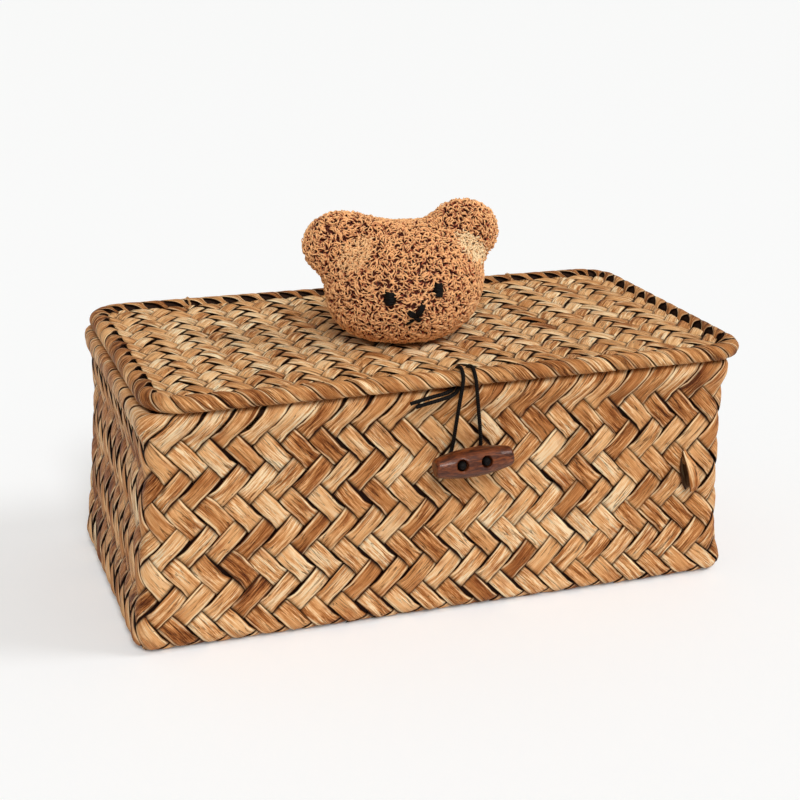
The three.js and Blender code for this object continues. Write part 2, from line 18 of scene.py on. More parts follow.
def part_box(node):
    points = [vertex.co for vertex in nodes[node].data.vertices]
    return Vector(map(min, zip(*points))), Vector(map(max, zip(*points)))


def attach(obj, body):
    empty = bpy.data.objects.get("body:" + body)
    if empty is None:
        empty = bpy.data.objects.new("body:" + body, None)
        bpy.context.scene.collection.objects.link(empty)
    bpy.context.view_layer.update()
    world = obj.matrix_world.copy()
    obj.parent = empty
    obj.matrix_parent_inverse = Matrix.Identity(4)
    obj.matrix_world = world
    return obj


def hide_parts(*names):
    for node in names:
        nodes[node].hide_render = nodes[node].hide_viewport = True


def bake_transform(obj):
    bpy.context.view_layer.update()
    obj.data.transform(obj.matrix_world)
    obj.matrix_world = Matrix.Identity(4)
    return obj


MM = 0.001
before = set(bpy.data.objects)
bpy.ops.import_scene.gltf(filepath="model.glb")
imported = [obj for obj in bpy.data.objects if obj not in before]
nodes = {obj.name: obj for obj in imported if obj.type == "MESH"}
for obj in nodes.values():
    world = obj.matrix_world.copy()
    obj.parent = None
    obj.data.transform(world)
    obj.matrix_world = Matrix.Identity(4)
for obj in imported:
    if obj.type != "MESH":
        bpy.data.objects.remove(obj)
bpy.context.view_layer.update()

# %% [markdown]
# ## The camera
# The camera stands a little to the left of the box's front and looks down on it. Its place, its
# three angles and its focal length are what makes the box's edges line up with the photograph.
# A camera looks along its own -Z axis, so its matrix is built from three directions: right, up and
# back.

# %% Camera
camera_place = Vector((-259.83, -712.51, 344.87)) * MM
camera_yaw = math.radians(20.01)
camera_pitch = math.radians(18.85)
camera_roll = math.radians(-0.93)
focal_length = 70.53
sensor_width = 36.0

forward = Vector((
    math.sin(camera_yaw) * math.cos(camera_pitch),
    math.cos(camera_yaw) * math.cos(camera_pitch),
    -math.sin(camera_pitch),
))
level_right = Vector((math.cos(camera_yaw), -math.sin(camera_yaw), 0))
level_down = forward.cross(level_right)
right = math.cos(camera_roll) * level_right + math.sin(camera_roll) * level_down
down = -math.sin(camera_roll) * level_right + math.cos(camera_roll) * level_down

camera_data = bpy.data.cameras.new("camera")
camera_data.lens = focal_length
camera_data.sensor_width = sensor_width
camera_data.clip_start = 0.01
camera = bpy.data.objects.new("camera", camera_data)
bpy.context.scene.collection.objects.link(camera)
turn = Matrix((right, -down, -forward)).transposed()
camera.matrix_world = Matrix.Translation(camera_place) @ turn.to_4x4()
bpy.context.scene.camera = camera
print("camera", [round(value, 3) for value in camera_place])

# %% [markdown]
# ## Helpers for meshes
# Each finished mesh becomes an object at the origin. Strips, cords and curls all start as flat
# grids, which are then moved to their place by working on all the points at once: `get_points`
# reads them into one array, a few sums say where each point belongs, and `set_points` writes them
# back. `set_value` and `set_uv` store what the materials read. The stuffed head and the polished
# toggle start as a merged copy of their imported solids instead. `new_skin` covers it with small even
# faces and smooths it, and `swell` moves it in or out.

# %% Mesh helpers
def link_mesh(name, bm, material, smooth=True):
    """Makes an object from a bmesh, in place, and adds it to the scene."""
    mesh = bpy.data.meshes.new(name)
    bm.to_mesh(mesh)
    bm.free()
    mesh.materials.append(material)
    mesh.polygons.foreach_set("use_smooth", [smooth] * len(mesh.polygons))
    piece = bpy.data.objects.new(name, mesh)
    bpy.context.scene.collection.objects.link(piece)
    return piece


def get_points(mesh):
    """The mesh's points as an array with one row each."""
    flat = np.empty(len(mesh.vertices) * 3)
    mesh.vertices.foreach_get("co", flat)
    return flat.reshape(-1, 3)


def set_points(mesh, points):
    """Moves the mesh's points to these places."""
    mesh.vertices.foreach_set("co", np.ascontiguousarray(points, dtype=np.float32).ravel())
    mesh.update()


def set_value(mesh, name, values):
    """Stores one number for each point, for a material to read."""
    attribute = mesh.attributes.new(name, "FLOAT", "POINT")
    attribute.data.foreach_set("value", np.asarray(values, dtype=np.float32))


def set_uv(mesh, across, along):
    """Stores each point's place on its strip or cord, in millimetres."""
    corners = np.empty(len(mesh.loops), dtype=np.int32)
    mesh.loops.foreach_get("vertex_index", corners)
    layer = mesh.uv_layers.new(name="UVMap")
    uv = np.stack([across[corners], along[corners]], axis=1)
    layer.data.foreach_set("uv", uv.astype(np.float32).ravel())


def point_outwards(mesh):
    """Turns all faces of closed shells outwards."""
    bm = bmesh.new()
    bm.from_mesh(mesh)
    bmesh.ops.recalc_face_normals(bm, faces=bm.faces[:])
    bm.to_mesh(mesh)
    bm.free()


def merged_solid(names):
    """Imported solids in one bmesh, with their doubled points merged."""
    bm = bmesh.new()
    for name in names:
        bm.from_mesh(nodes[name].data)
    bmesh.ops.remove_doubles(bm, verts=bm.verts[:], dist=1e-6)
    bmesh.ops.recalc_face_normals(bm, faces=bm.faces[:])
    return bm


def applied(piece):
    """The piece's mesh with its modifiers applied."""
    bpy.context.view_layer.update()
    graph = bpy.context.evaluated_depsgraph_get()
    mesh = bpy.data.meshes.new_from_object(piece.evaluated_get(graph))
    piece.modifiers.clear()
    old = piece.data
    piece.data = mesh
    bpy.data.meshes.remove(old)
    return mesh


def get_directions(mesh):
    """The outward direction at each of the mesh's points."""
    flat = np.empty(len(mesh.vertices) * 3)
    mesh.vertex_normals.foreach_get("vector", flat)
    return flat.reshape(-1, 3)


def swell(mesh, distance):
    """Moves every point outwards along its own direction, in millimetres."""
    set_points(mesh, get_points(mesh) + get_directions(mesh) * distance * MM)


def new_skin(piece, grain, passes):
    """Covers the piece with one even skin of small faces and smooths it."""
    remesh = piece.modifiers.new("one_skin", "REMESH")
    remesh.mode = "VOXEL"
    remesh.voxel_size = grain * MM
    applied(piece)
    bm = bmesh.new()
    bm.from_mesh(piece.data)
    for _ in range(passes):
        bmesh.ops.smooth_vert(
            bm, verts=bm.verts[:], factor=0.5, use_axis_x=True, use_axis_y=True, use_axis_z=True,
        )
    bmesh.ops.recalc_face_normals(bm, faces=bm.faces[:])
    bm.to_mesh(piece.data)
    bm.free()
    piece.data.polygons.foreach_set("use_smooth", [True] * len(piece.data.polygons))


def triangles(*pieces):
    """How many triangles the pieces' meshes have."""
    return sum(len(face.vertices) - 2 for piece in pieces for face in piece.data.polygons)


def smooth_step(value, low, high):
    """Rises smoothly from 0 at low to 1 at high."""
    share = np.clip((value - low) / (high - low), 0, 1)
    return share * share * (3 - 2 * share)


def mix(low, high, share):
    """A value between low and high."""
    return low + (high - low) * share


# %% [markdown]
# ## Helpers for materials
# A material is a small network of nodes. `Nodes` keeps the calls short: it adds a node, sets its
# values, and joins its sockets. Dried sedge, thread, wood and plush each get a network of their
# own, because what makes them look real differs: fibres, twist, grain and curls. `grained` makes
# the plainer ones, which are coloured by a single fine noise.

# %% Material helpers
class Nodes:
    """Builds the node network of a material or of the world."""

    def __init__(self, owner):
        owner.use_nodes = True
        self.owner = owner
        self.tree = owner.node_tree
        shaders = self.tree.nodes
        self.shader = shaders.get("Principled BSDF") or shaders["Background"]

    def join(self, source, target):
        """Feeds a socket or a plain value into a socket."""
        if isinstance(source, bpy.types.NodeSocket):
            self.tree.links.new(source, target)
        else:
            target.default_value = source

    def add(self, kind, inputs=(), **settings):
        """Adds a node, with its settings and what goes into its sockets."""
        node = self.tree.nodes.new(kind)
        for key, value in settings.items():
            setattr(node, key, value)
        for key, source in dict(inputs).items():
            self.join(source, node.inputs[key])
        return node

    def value(self, name):
        """A number that is stored on the points of the mesh."""
        return self.add("ShaderNodeAttribute", attribute_name=name).outputs["Fac"]

    def coordinates(self, kind):
        """Each point's place in the object or on the piece's map."""
        return self.add("ShaderNodeTexCoord").outputs[kind]

    def math(self, operation, first, second=0.0):
        """One operation on one or two numbers."""
        return self.add("ShaderNodeMath", {0: first, 1: second}, operation=operation).outputs[0]

    def times(self, first, second):
        """A product."""
        return self.math("MULTIPLY", first, second)

    def plus(self, total, *terms):
        """The sum of all the numbers."""
        for term in terms:
            total = self.math("ADD", total, term)
        return total

    def band(self, source, low, high, to_low=0.0, to_high=1.0, smooth=False):
        """Maps the range from low to high onto another one and holds the ends."""
        inputs = {0: source, 1: low, 2: high, 3: to_low, 4: to_high}
        kind = "SMOOTHSTEP" if smooth else "LINEAR"
        return self.add("ShaderNodeMapRange", inputs, interpolation_type=kind).outputs[0]

    def vector(self, x, y):
        """A level vector from two numbers."""
        return self.add("ShaderNodeCombineXYZ", {0: x, 1: y}).outputs[0]

    def noise(self, vector, scale, detail, roughness, distortion=0.0):
        """Cloudy noise with a value around one half."""
        inputs = {"Vector": vector, "Scale": scale, "Detail": detail,
                  "Roughness": roughness, "Distortion": distortion}
        return self.add("ShaderNodeTexNoise", inputs).outputs[0]

    def ramp(self, source, stops):
        """Colours along a scale from 0 to 1. Each stop is a place and a colour."""
        node = self.add("ShaderNodeValToRGB", {0: source})
        elements = node.color_ramp.elements
        elements[0].position, elements[1].position = stops[0][0], stops[-1][0]
        elements[0].color, elements[1].color = stops[0][1], stops[-1][1]
        for place, colour in stops[1:-1]:
            elements.new(place).color = colour
        return node.outputs[0]

    def blend(self, share, first, second, kind="MIX"):
        """Mixes two colours."""
        node = self.add("ShaderNodeMix", data_type="RGBA", blend_type=kind)
        self.join(share, node.inputs[0])
        self.join(first, node.inputs[6])
        self.join(second, node.inputs[7])
        return node.outputs[2]

    def bump(self, height, distance, strength=1.0):
        """Fine relief. The distance is in metres."""
        inputs = {"Height": height, "Distance": distance, "Strength": strength}
        return self.add("ShaderNodeBump", inputs).outputs[0]

    def finish(self, **sockets):
        """Fills the shader's sockets and gives the material or world back."""
        for key, source in sockets.items():
            self.join(source, self.shader.inputs[key.replace("_", " ")])
        return self.owner


def material_net(name):
    """The network of a new material, with a Principled shader in it."""
    return Nodes(bpy.data.materials.new(name))


def linear(red, green, blue):
    """A screen colour from 0 to 255 as the linear numbers that shaders take, and opaque."""
    screen = [value / 255 for value in (red, green, blue)]
    light = [
        value / 12.92 if value <= 0.04045 else ((value + 0.055) / 1.055) ** 2.4
        for value in screen
    ]
    return (*light, 1.0)


def grained(name, noise, stops, relief, **sockets):
    """A material coloured by one noise, given as its scale, detail and roughness."""
    net = material_net(name)
    grain = net.noise(net.coordinates("Object"), *noise)
    if relief:
        sockets["Normal"] = net.bump(grain, relief)
    return net.finish(Base_Color=net.ramp(grain, stops), **sockets)


# %% [markdown]
# ## Black waxed thread
# The cord, the knots, the toggle's thread and the bear's stitched face are black waxed cotton. Its
# strands twist round the cord, so the relief is a wave that climbs as it goes round. The wax gives
# a soft shine. Pieces without a map along them have the same colour and only the fine noise.

# %% Black thread
thread_noise = (2500, 3, 0.6)
thread_stops = [(0.3, linear(5, 4, 4)), (0.8, linear(22, 18, 16))]
thread_relief = 0.00012
wax = {"Roughness": 0.5, "Specular_IOR_Level": 0.1}


def twisted_thread(name):
    """Black waxed cotton, with its twist along the cord."""
    net = material_net(name)
    fine = net.noise(net.coordinates("Object"), *thread_noise)
    place = net.add("ShaderNodeSeparateXYZ", {0: net.coordinates("UV")}).outputs
    turns = net.plus(net.times(place["X"], 2.0), net.times(place["Y"], 0.9))
    wave = net.math("SINE", net.times(turns, math.tau))
    normal = net.bump(net.plus(wave, net.times(fine, 0.5)), thread_relief)
    return net.finish(Base_Color=net.ramp(fine, thread_stops), Normal=normal, **wax)


cord_thread = twisted_thread("black_waxed_cord")
knot_thread = grained("black_waxed_knot", thread_noise, thread_stops, thread_relief, **wax)
print("thread", cord_thread.name, knot_thread.name)

# %% [markdown]
# ## Tubes along a route
# A cord is a tube along a smooth route. The route's given points are joined by a curve that
# passes through all of them. The tube is a grid, rolled up round that curve: a frame of two
# directions is carried along without twisting, and each ring of points is laid in it. Then the
# seam is merged and the ends are filled. The rolls round the rims' wires are tubes along closed
# routes, which need no ends.

# %% Routes and tubes
def smooth_route(points, spacing):
    """A curve through all the points, as points that are evenly spaced."""
    points = np.array(points, dtype=float)
    first = 2 * points[0] - points[1]
    last = 2 * points[-1] - points[-2]
    ends = np.vstack([first, points, last])
    fine = []
    share = np.linspace(0, 1, 12, endpoint=False)[:, None]
    for index in range(1, len(points)):
        a, b, c, d = ends[index - 1], ends[index], ends[index + 1], ends[index + 2]
        fine.append(0.5 * (
            2 * b + (c - a) * share
            + (2 * a - 5 * b + 4 * c - d) * share ** 2
            + (3 * b - a - 3 * c + d) * share ** 3
        ))
    fine = np.vstack([*fine, points[-1:]])
    steps = np.linalg.norm(np.diff(fine, axis=0), axis=1)
    travelled = np.concatenate([[0], np.cumsum(steps)])
    count = max(int(round(travelled[-1] / spacing)), 2)
    wanted = np.linspace(0, travelled[-1], count + 1)
    return np.stack([np.interp(wanted, travelled, fine[:, axis]) for axis in range(3)], axis=1)


def route_length(route):
    """The length of a route."""
    return float(np.linalg.norm(np.diff(route, axis=0), axis=1).sum())


def carried_frames(route):
    """Two directions across the route at each point, carried along without a twist."""
    ahead = np.gradient(route, axis=0)
    ahead /= np.linalg.norm(ahead, axis=1)[:, None]
    guess = np.eye(3)[np.argmin(np.abs(ahead[0]))]
    side = np.cross(ahead[0], guess)
    sides = []
    for direction in ahead:
        side = side - direction * side.dot(direction)
        side = side / np.linalg.norm(side)
        sides.append(side)
    sides = np.array(sides)
    return sides, np.cross(ahead, sides)


def rolled_grid(name, route, outs, ups, radii, around, map_width, material):
    """A grid rolled up round a route.

    outs and ups are two directions across the route at each of its points, and the two radii are
    the tube's half sizes in them. All lengths are in millimetres.
    """
    steps = len(route) - 1
    bm = bmesh.new()
    bmesh.ops.create_grid(bm, x_segments=around, y_segments=steps, size=0.5)
    piece = link_mesh(name, bm, material)
    share = get_points(piece.data)[:, :2] + 0.5
    ring = np.rint(share[:, 1] * steps).astype(int)
    angle = share[:, :1] * math.tau
    across = radii[0] * np.cos(angle) * outs[ring] + radii[1] * np.sin(angle) * ups[ring]
    set_uv(piece.data, share[:, 0] * map_width, share[:, 1] * route_length(route))
    set_points(piece.data, (route[ring] + across) * MM)
    close_tube(piece.data)
    return piece


def tube_piece(name, route, radius, around, material):
    """A round tube with filled ends along a route."""
    sides, ups = carried_frames(route)
    return rolled_grid(name, route, sides, ups, (radius, radius), around, 1, material)


def closed_tube(name, centre, radii, around, material):
    """A tube along a level closed route, with its half sizes outwards and upwards."""
    centre = centre[:-1]
    ahead = np.roll(centre, -1, axis=0) - np.roll(centre, 1, axis=0)
    ahead /= np.linalg.norm(ahead, axis=1)[:, None]
    ups = np.tile([0.0, 0.0, 1.0], (len(centre) + 1, 1))
    outs = np.cross(ahead, ups[:-1])
    route, outs = (np.vstack([rows, rows[:1]]) for rows in (centre, outs))
    return rolled_grid(name, route, outs, ups, radii, around, 2 * sum(radii), material)


def close_tube(mesh):
    """Merges the seam of a rolled-up grid and fills its open ends."""
    bm = bmesh.new()
    bm.from_mesh(mesh)
    bmesh.ops.remove_doubles(bm, verts=bm.verts[:], dist=1e-7)
    open_edges = [edge for edge in bm.edges if edge.is_boundary]
    bmesh.ops.holes_fill(bm, edges=open_edges, sides=0)
    bmesh.ops.recalc_face_normals(bm, faces=bm.faces[:])
    bm.to_mesh(mesh)
    bm.free()


# %% [markdown]
# ## The front cord
# One limp cord is knotted under the lid. Two stretches go up through the lid's weave and over its
# front rim and hang down as a loop, which passes under the toggle. It is one tube from knot to
# knot.

# %% Front cord
cord_diameter = 1.8
loop_points = [
    (-0.3, -79.70, 127.78), (-0.3, -81.50, 127.31), (-0.4, -83.28, 125.94),
    (-0.5, -84.32, 123.95), (-0.6, -84.42, 121.70), (-1.0, -83.10, 115.00),
    (-1.5, -81.30, 106.00), (-1.9, -79.55, 97.00), (-2.2, -78.40, 91.00),
    (-2.8, -77.90, 87.00), (-3.9, -77.80, 84.00), (-4.5, -77.80, 81.80),
    (-4.2, -77.80, 80.10), (-2.8, -77.80, 79.10), (3.6, -77.80, 79.00),
    (10.0, -77.80, 79.70), (11.4, -77.80, 80.60), (11.9, -77.80, 82.60),
    (11.9, -77.90, 86.00), (11.6, -78.40, 90.50), (10.6, -79.55, 97.00),
    (8.9, -81.30, 106.00), (7.2, -83.10, 115.00), (5.9, -84.42, 121.70),
    (5.5, -84.32, 123.95), (5.3, -83.28, 125.94), (5.2, -81.50, 127.31),
    (5.1, -79.70, 127.78),
]
left_root_points = [
    (0.3, -71.10, 119.50), (-0.1, -72.30, 119.80), (-0.3, -73.40, 120.90),
    (-0.3, -73.80, 122.60), (-0.3, -74.10, 124.40), (-0.3, -75.60, 126.30),
    (-0.3, -77.50, 127.40),
]
right_root_points = [
    (5.1, -77.50, 127.40), (5.1, -75.60, 126.30), (5.1, -74.10, 124.40),
    (5.1, -73.80, 122.60), (5.1, -73.40, 120.90), (4.9, -72.30, 119.80),
    (4.5, -71.10, 119.50),
]
upper_tail_points = [
    (1.2, -70.90, 117.60), (-0.3, -73.50, 117.40), (-1.9, -76.00, 117.40),
    (-3.6, -79.00, 117.40), (-6.2, -81.80, 117.40), (-10.2, -83.70, 117.10),
    (-15.2, -84.30, 116.50), (-20.6, -84.40, 115.50), (-26.0, -84.30, 114.20),
]
lower_tail_points = [
    (3.5, -71.00, 117.50), (2.3, -73.50, 117.40), (0.9, -76.00, 117.40),
    (-0.6, -79.00, 117.40), (-2.9, -82.00, 116.80), (-6.6, -84.10, 115.80),
    (-12.0, -84.70, 114.80), (-17.8, -84.80, 113.70), (-23.4, -84.60, 112.40),
]
loop_points = left_root_points + loop_points + right_root_points
cord_around = 12
cord_spacing = 0.45


def declare_cord(piece, route):
    print(piece.name, "length", round(route_length(route), 1), "mm")


loop_route = smooth_route(loop_points, cord_spacing)
front_cord = tube_piece("front_cord", loop_route, cord_diameter / 2, cord_around, cord_thread)
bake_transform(front_cord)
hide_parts("loop_cord", "loop_cord_root_left", "loop_cord_root_right")
declare_cord(front_cord, loop_route)

for side, points in (("upper", upper_tail_points), ("lower", lower_tail_points)):
    tail_route = smooth_route(points, cord_spacing)
    tail = tube_piece(f"tail_{side}", tail_route, cord_diameter / 2, cord_around, cord_thread)
    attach(tail, "lid")
    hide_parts(f"cord_tail_{side}")
    declare_cord(tail, tail_route)

# %% [markdown]
# ## Dried sedge
# A flattened sedge strip is a bundle of long fibres. Seen close, it has pale and brown streaks along
# its length, a few dark cracks, and edges that catch the light or lie in shade. The material works
# in the strip's own map, across and along it in millimetres, so that the streaks follow every bend.
# Three values stored on the points steer it: how far the strip stands in front at that point, the
# tone of the strip, and how near its edge the point is. Where a strip dives under another, in its
# cracks and on the last hair's breadth of its edges, shade is painted into its colour, which makes
# the gaps read as deep, and a painted highlight runs beside its edges.
# The lid's sedge is a little paler than the walls'.

# %% Sedge
def sedge(name, warmth, lightness):
    """Flattened sedge. Warmth shifts it to orange, and lightness makes all of it paler."""
    net = material_net(name)
    place = net.add("ShaderNodeSeparateXYZ", {0: net.coordinates("UV")}).outputs
    tone, front, edge = net.value("tone"), net.value("front"), net.value("edge")

    def streaks(wide, long, detail, roughness, distortion=0.0):
        """Noise that is stretched along the strip."""
        vector = net.vector(net.times(place["X"], wide), net.times(place["Y"], long))
        return net.noise(vector, 1.0, detail, roughness, distortion)

    # fibres of three widths, stains, and cracks where another noise passes its middle value
    bundles = streaks(0.55, 0.045, 3, 0.6, 0.4)
    fibres = streaks(2.2, 0.09, 4, 0.65, 0.3)
    hairs = streaks(7.0, 0.35, 2, 0.6)
    stains = streaks(0.16, 0.07, 3, 0.55, 0.6)
    middle = net.math("SUBTRACT", streaks(0.75, 0.035, 2, 0.5, 0.5), 0.47)
    crack = net.band(net.math("ABSOLUTE", middle), 0.0, 0.024, 1.0, 0.0)
    crack = net.times(crack, net.band(streaks(0.3, 0.05, 1, 0.5), 0.42, 0.52))

    # how pale each place is, evened out on some stretches
    paleness = net.plus(
        net.times(fibres, 0.85), net.times(bundles, 0.85), net.times(hairs, 0.35),
        net.times(tone, 0.36),
    )
    lift = 0.46 * lightness
    paleness = net.band(paleness, 1.0 - lift, 1.46 - lift)
    calm = net.band(streaks(0.05, 0.03, 1, 0.5), 0.44, 0.6, 0.0, 0.65)
    level = net.plus(net.times(tone, 0.4), 0.34 + lightness)
    paleness = net.plus(paleness, net.times(net.math("SUBTRACT", level, paleness), calm))
    colour = net.ramp(paleness, [
        (0.0, linear(92, 48, 20)), (0.2, linear(150, 90, 44)), (0.46, linear(198, 137, 81)),
        (0.7, linear(240, 190, 132)), (0.94, linear(255, 238, 200)),
    ])
    stain = net.band(stains, 0.54, 0.74, 0.0, 0.5)
    colour = net.blend(stain, colour, linear(176, 116, 62), "MULTIPLY")
    colour = net.blend(warmth, colour, linear(214, 150, 84), "MULTIPLY")

    # painted highlight beside the edges, and painted shade at the edges, underneath and in the cracks
    painted_edge_highlight = net.times(net.band(edge, 0.68, 0.84), net.band(edge, 0.92, 0.86))
    painted_edge_highlight = net.times(painted_edge_highlight, net.band(bundles, 0.4, 0.58))
    colour = net.blend(net.times(painted_edge_highlight, 0.7), colour, linear(255, 234, 190))
    under = net.band(front, 0.5, -0.1, 0.0, 1.0, True)
    shade = net.math("MAXIMUM", net.band(edge, 0.915, 0.985, 0.0, 0.95), under)
    shade = net.math("MAXIMUM", shade, net.times(crack, 0.85))
    colour = net.blend(shade, colour, linear(36, 14, 6))

    relief = net.plus(net.times(fibres, 0.7), net.times(hairs, 0.35), net.times(bundles, 0.9))
    relief = net.math("SUBTRACT", relief, net.times(crack, 0.6))
    return net.finish(
        Base_Color=colour, Roughness=net.band(fibres, 0.3, 0.7, 0.62, 0.42),
        Specular_IOR_Level=0.1, Normal=net.bump(relief, 0.0006, 0.9),
    )


wall_sedge = sedge("wall_sedge", 0.22, 0.03)
lid_sedge = sedge("lid_sedge", 0.06, 0.1)
print("sedge", wall_sedge.name, lid_sedge.name)

# %% [markdown]
# ## Flat strips
# All strips of one family start as flat grids lying side by side, a unit wide and a unit long, and
# an extrusion gives them their two faces. `Strips` reads back, for every point, which strip it is
# on, how far across it and along it, and whether it is on the outer face. The strip's real shape is
# then worked out from these four, so one plait takes a few lines. Real strips are never alike, so
# each has its own random width, tone and ridges, and each stretch between two crossings its own
# small shift, tilt and height.

# %% Strips
lane_crowding = 0.75
floats_stored = 64


def side_by_side(count, lanes, steps):
    """Flat grids side by side: one wide grid, with the faces between them deleted."""
    columns = count * (lanes + 1) - 1
    bm = bmesh.new()
    bmesh.ops.create_grid(bm, x_segments=columns, y_segments=steps, size=0.5)
    between = [
        face for face in bm.faces
        if round((face.calc_center_median().x + 0.5) * columns - 0.5) % (lanes + 1) == lanes
    ]
    bmesh.ops.delete(bm, geom=between, context="FACES")
    return bm


def read_side_by_side(points, count, lanes):
    """Each point's grid number, and its place across and along the grid from 0 to 1."""
    columns = count * (lanes + 1) - 1
    column = np.rint((points[:, 0] + 0.5) * columns).astype(int)
    return column // (lanes + 1), column % (lanes + 1) / lanes, np.clip(points[:, 1] + 0.5, 0, 1)


class Strips:
    """Flat strips side by side, and the place of every point on them."""

    def __init__(self, count, steps, lanes, seed):
        bm = side_by_side(count, lanes, steps)
        raised = bmesh.ops.extrude_face_region(bm, geom=bm.faces[:])
        verts = [item for item in raised["geom"] if isinstance(item, bmesh.types.BMVert)]
        bmesh.ops.translate(bm, verts=verts, vec=(0, 0, 1))
        self.bm = bm
        self.count = count
        points = np.array([vert.co for vert in bm.verts])
        self.index, across, self.along = read_side_by_side(points, count, lanes)
        across = across * 2 - 1
        self.across = np.sign(across) * np.abs(across) ** lane_crowding
        self.outer = np.rint(points[:, 2])
        self.random = np.random.default_rng(seed)

    def per_strip(self, low, high):
        """One random value for each strip."""
        return self.random.uniform(low, high, self.count)[self.index]

    def per_float(self, section, spread):
        """Random values that change from one float of a strip to the next."""
        table = self.random.normal(0, spread, (self.count, floats_stored))
        place = np.clip(section, 0, floats_stored - 1.001)
        low = np.floor(place).astype(int)
        share = smooth_step(place - low, 0.2, 0.8)
        return mix(table[self.index, low], table[self.index, low + 1], share)

    def from_both_sides(self, front):
        """What lies behind on the plait's outside lies in front on its inside."""
        return np.where(self.outer > 0.5, front, -front)

    def piece(self, name, points, front, tone, material, run, half_width):
        """Finishes the strips as one piece, from their points in millimetres."""
        piece = link_mesh(name, self.bm, material)
        set_points(piece.data, points * MM)
        seed = self.random.uniform(0, 900, self.count)[self.index]
        set_uv(piece.data, self.across * half_width + seed, run + seed * 3)
        set_value(piece.data, "front", front)
        set_value(piece.data, "tone", tone)
        set_value(piece.data, "edge", np.abs(self.across))
        point_outwards(piece.data)
        print(name, triangles(piece), "triangles")
        return piece


# %% [markdown]
# ## How a twill plait works
# Two families of strips cross at right angles, one leaning right and one leaning left. In a twill
# each strip passes over two others and then under two, and the pattern steps along by one from
# strip to strip. That is what makes the rows of slanted lobes on the walls. Here a crossing has two
# numbers, one for each family, and a strip's height follows a wave in their difference. Raising
# the wave's size to a power below one makes it flat on top with a quick dive at its ends.

# %% Plait
strip_rise = 0.88
strip_thickness = 0.7
strip_crown = 0.3
strip_ridges = ((0.07, 4.5), (0.05, 8.5))
strip_thinning = 0.55
strip_narrowing = 0.88
front_widening = 0.12
back_widening = 0.2
float_drift = 0.32
float_lift = 0.10
float_tilt = 0.15
float_flatness = 0.6
float_tone = 0.15
first_float = 19.75
middle_tone = 0.55


def float_wave(phase):
    """1 where the right-leaning strip is well in front, -1 where it is well behind."""
    wave = np.sin(math.pi / 2 * (phase + 0.5))
    return np.sign(wave) * np.abs(wave) ** float_flatness


def plait_point(strips, leaning_right, own, other, pitch_across, pitch_up, width_share, by_rows):
    """Where each point of a strip is in the plait, in pitches, and how far in front.

    own is the strip's own number and other the running number of the strips it crosses. The last
    two results are half the strip's width and the running number of its floats.
    """
    slant = math.hypot(pitch_across, pitch_up)
    half_width = pitch_across * pitch_up / slant / 2 * width_share
    side = 1 if leaning_right else -1
    span = other - own if leaning_right else own - other
    section = (span if by_rows else own + other) / 2 + first_float
    drift = strips.per_float(section, float_drift)
    rough_phase = span - 0.5 if by_rows else own + other
    wave = float_wave(rough_phase) * side
    width = strip_narrowing + np.where(wave > 0, front_widening * wave, -back_widening * wave)
    width += strips.per_strip(-0.06, 0.06) + strips.per_float(section, 0.04)
    offset = strips.across * half_width * width + drift
    across = (own + other) / 2 + offset * pitch_up / (slant * pitch_across)
    up = span / 2 - side * offset * pitch_across / (slant * pitch_up)
    crossed = across + side * up
    phase = side * (crossed - own) if by_rows else crossed + own
    front = float_wave(phase) * side
    return across, up, front, half_width, section


def strip_height(strips, front, section):
    """Height over the plait's middle surface: wave, crown, ridges, tilt and thickness."""
    lift = strip_rise * front * (1 + strips.per_float(section, float_lift))
    crown = strip_crown * (1 - strips.across ** 2) * np.clip(front, 0, 1)
    tilt = strips.across * strips.per_float(section, float_tilt)
    ridges = sum(
        size * np.sin(strips.across * waves + strips.per_strip(0, math.tau))
        for size, waves in strip_ridges
    )
    body = (strips.outer - 0.5) * strip_thickness * (1 - strip_thinning * strips.across ** 4)
    return lift + crown + tilt + ridges + body


def strip_tone(strips, section, spread):
    """The strip's tone from 0, dark, to 1, pale."""
    tone = strips.per_strip(middle_tone - spread, middle_tone + spread)
    return np.clip(tone + strips.per_float(section, float_tone), 0, 1)


# %% [markdown]
# ## The walls' middle surface
# The plait follows a box with rounded corners. It is a little wider below than at the rim in its
# length, narrower in its depth, and slightly drawn in at half height. `wall_place` turns a place in
# the plait, in pitches round the box and millimetres up the wall, into a point. Round the base edge
# the strips bend under the box. At the top they roll over the rim's wire and are tucked down
# inside. Nothing pulls such a box quite straight, so the rim bulges a little on the left and the
# foot on the right. The list of sides holds where each of them starts, counted in strips from the
# front's left end, and then where the round closes.

# %% Wall surface
wall_sides = np.array([-11.5, 10.5, 21.5, 43.5, 54.5])
strips_round = 66
base_size = (306.8, 151.3)
rim_size = (288.0, 154.5)
base_corner = 11.0
rim_corner = 8.0
base_middle_y = 2.9
waist_depth = 1.2
base_edge = 7.0
base_bend = 5.5
bead_radius = 4.0
bead_height = 114.0
roll_radius = 3.5
roll_outset = 2.0
roll_approach = 103
tuck_lean = 0.12
wall_middle = 1.5
rim_push = 2.2
rim_push_levels = (88, 112)
rim_push_reach = (125, 143)
foot_push = 2.4
foot_push_levels = (1, 26)
foot_push_reach = (120, 150)


def wall_outline(height):
    """The outer outline of the walls at a height: half sizes, middle and corner radius."""
    rise = np.clip(height / bead_height, 0, 1)
    waist = waist_depth * np.sin(math.pi * rise)
    half_width = mix(base_size[0], rim_size[0], rise) / 2 - waist
    half_depth = mix(base_size[1], rim_size[1], rise) / 2 - waist
    middle = (0.0, mix(base_middle_y, 0, rise))
    return half_width, half_depth, middle, mix(base_corner, rim_corner, rise)


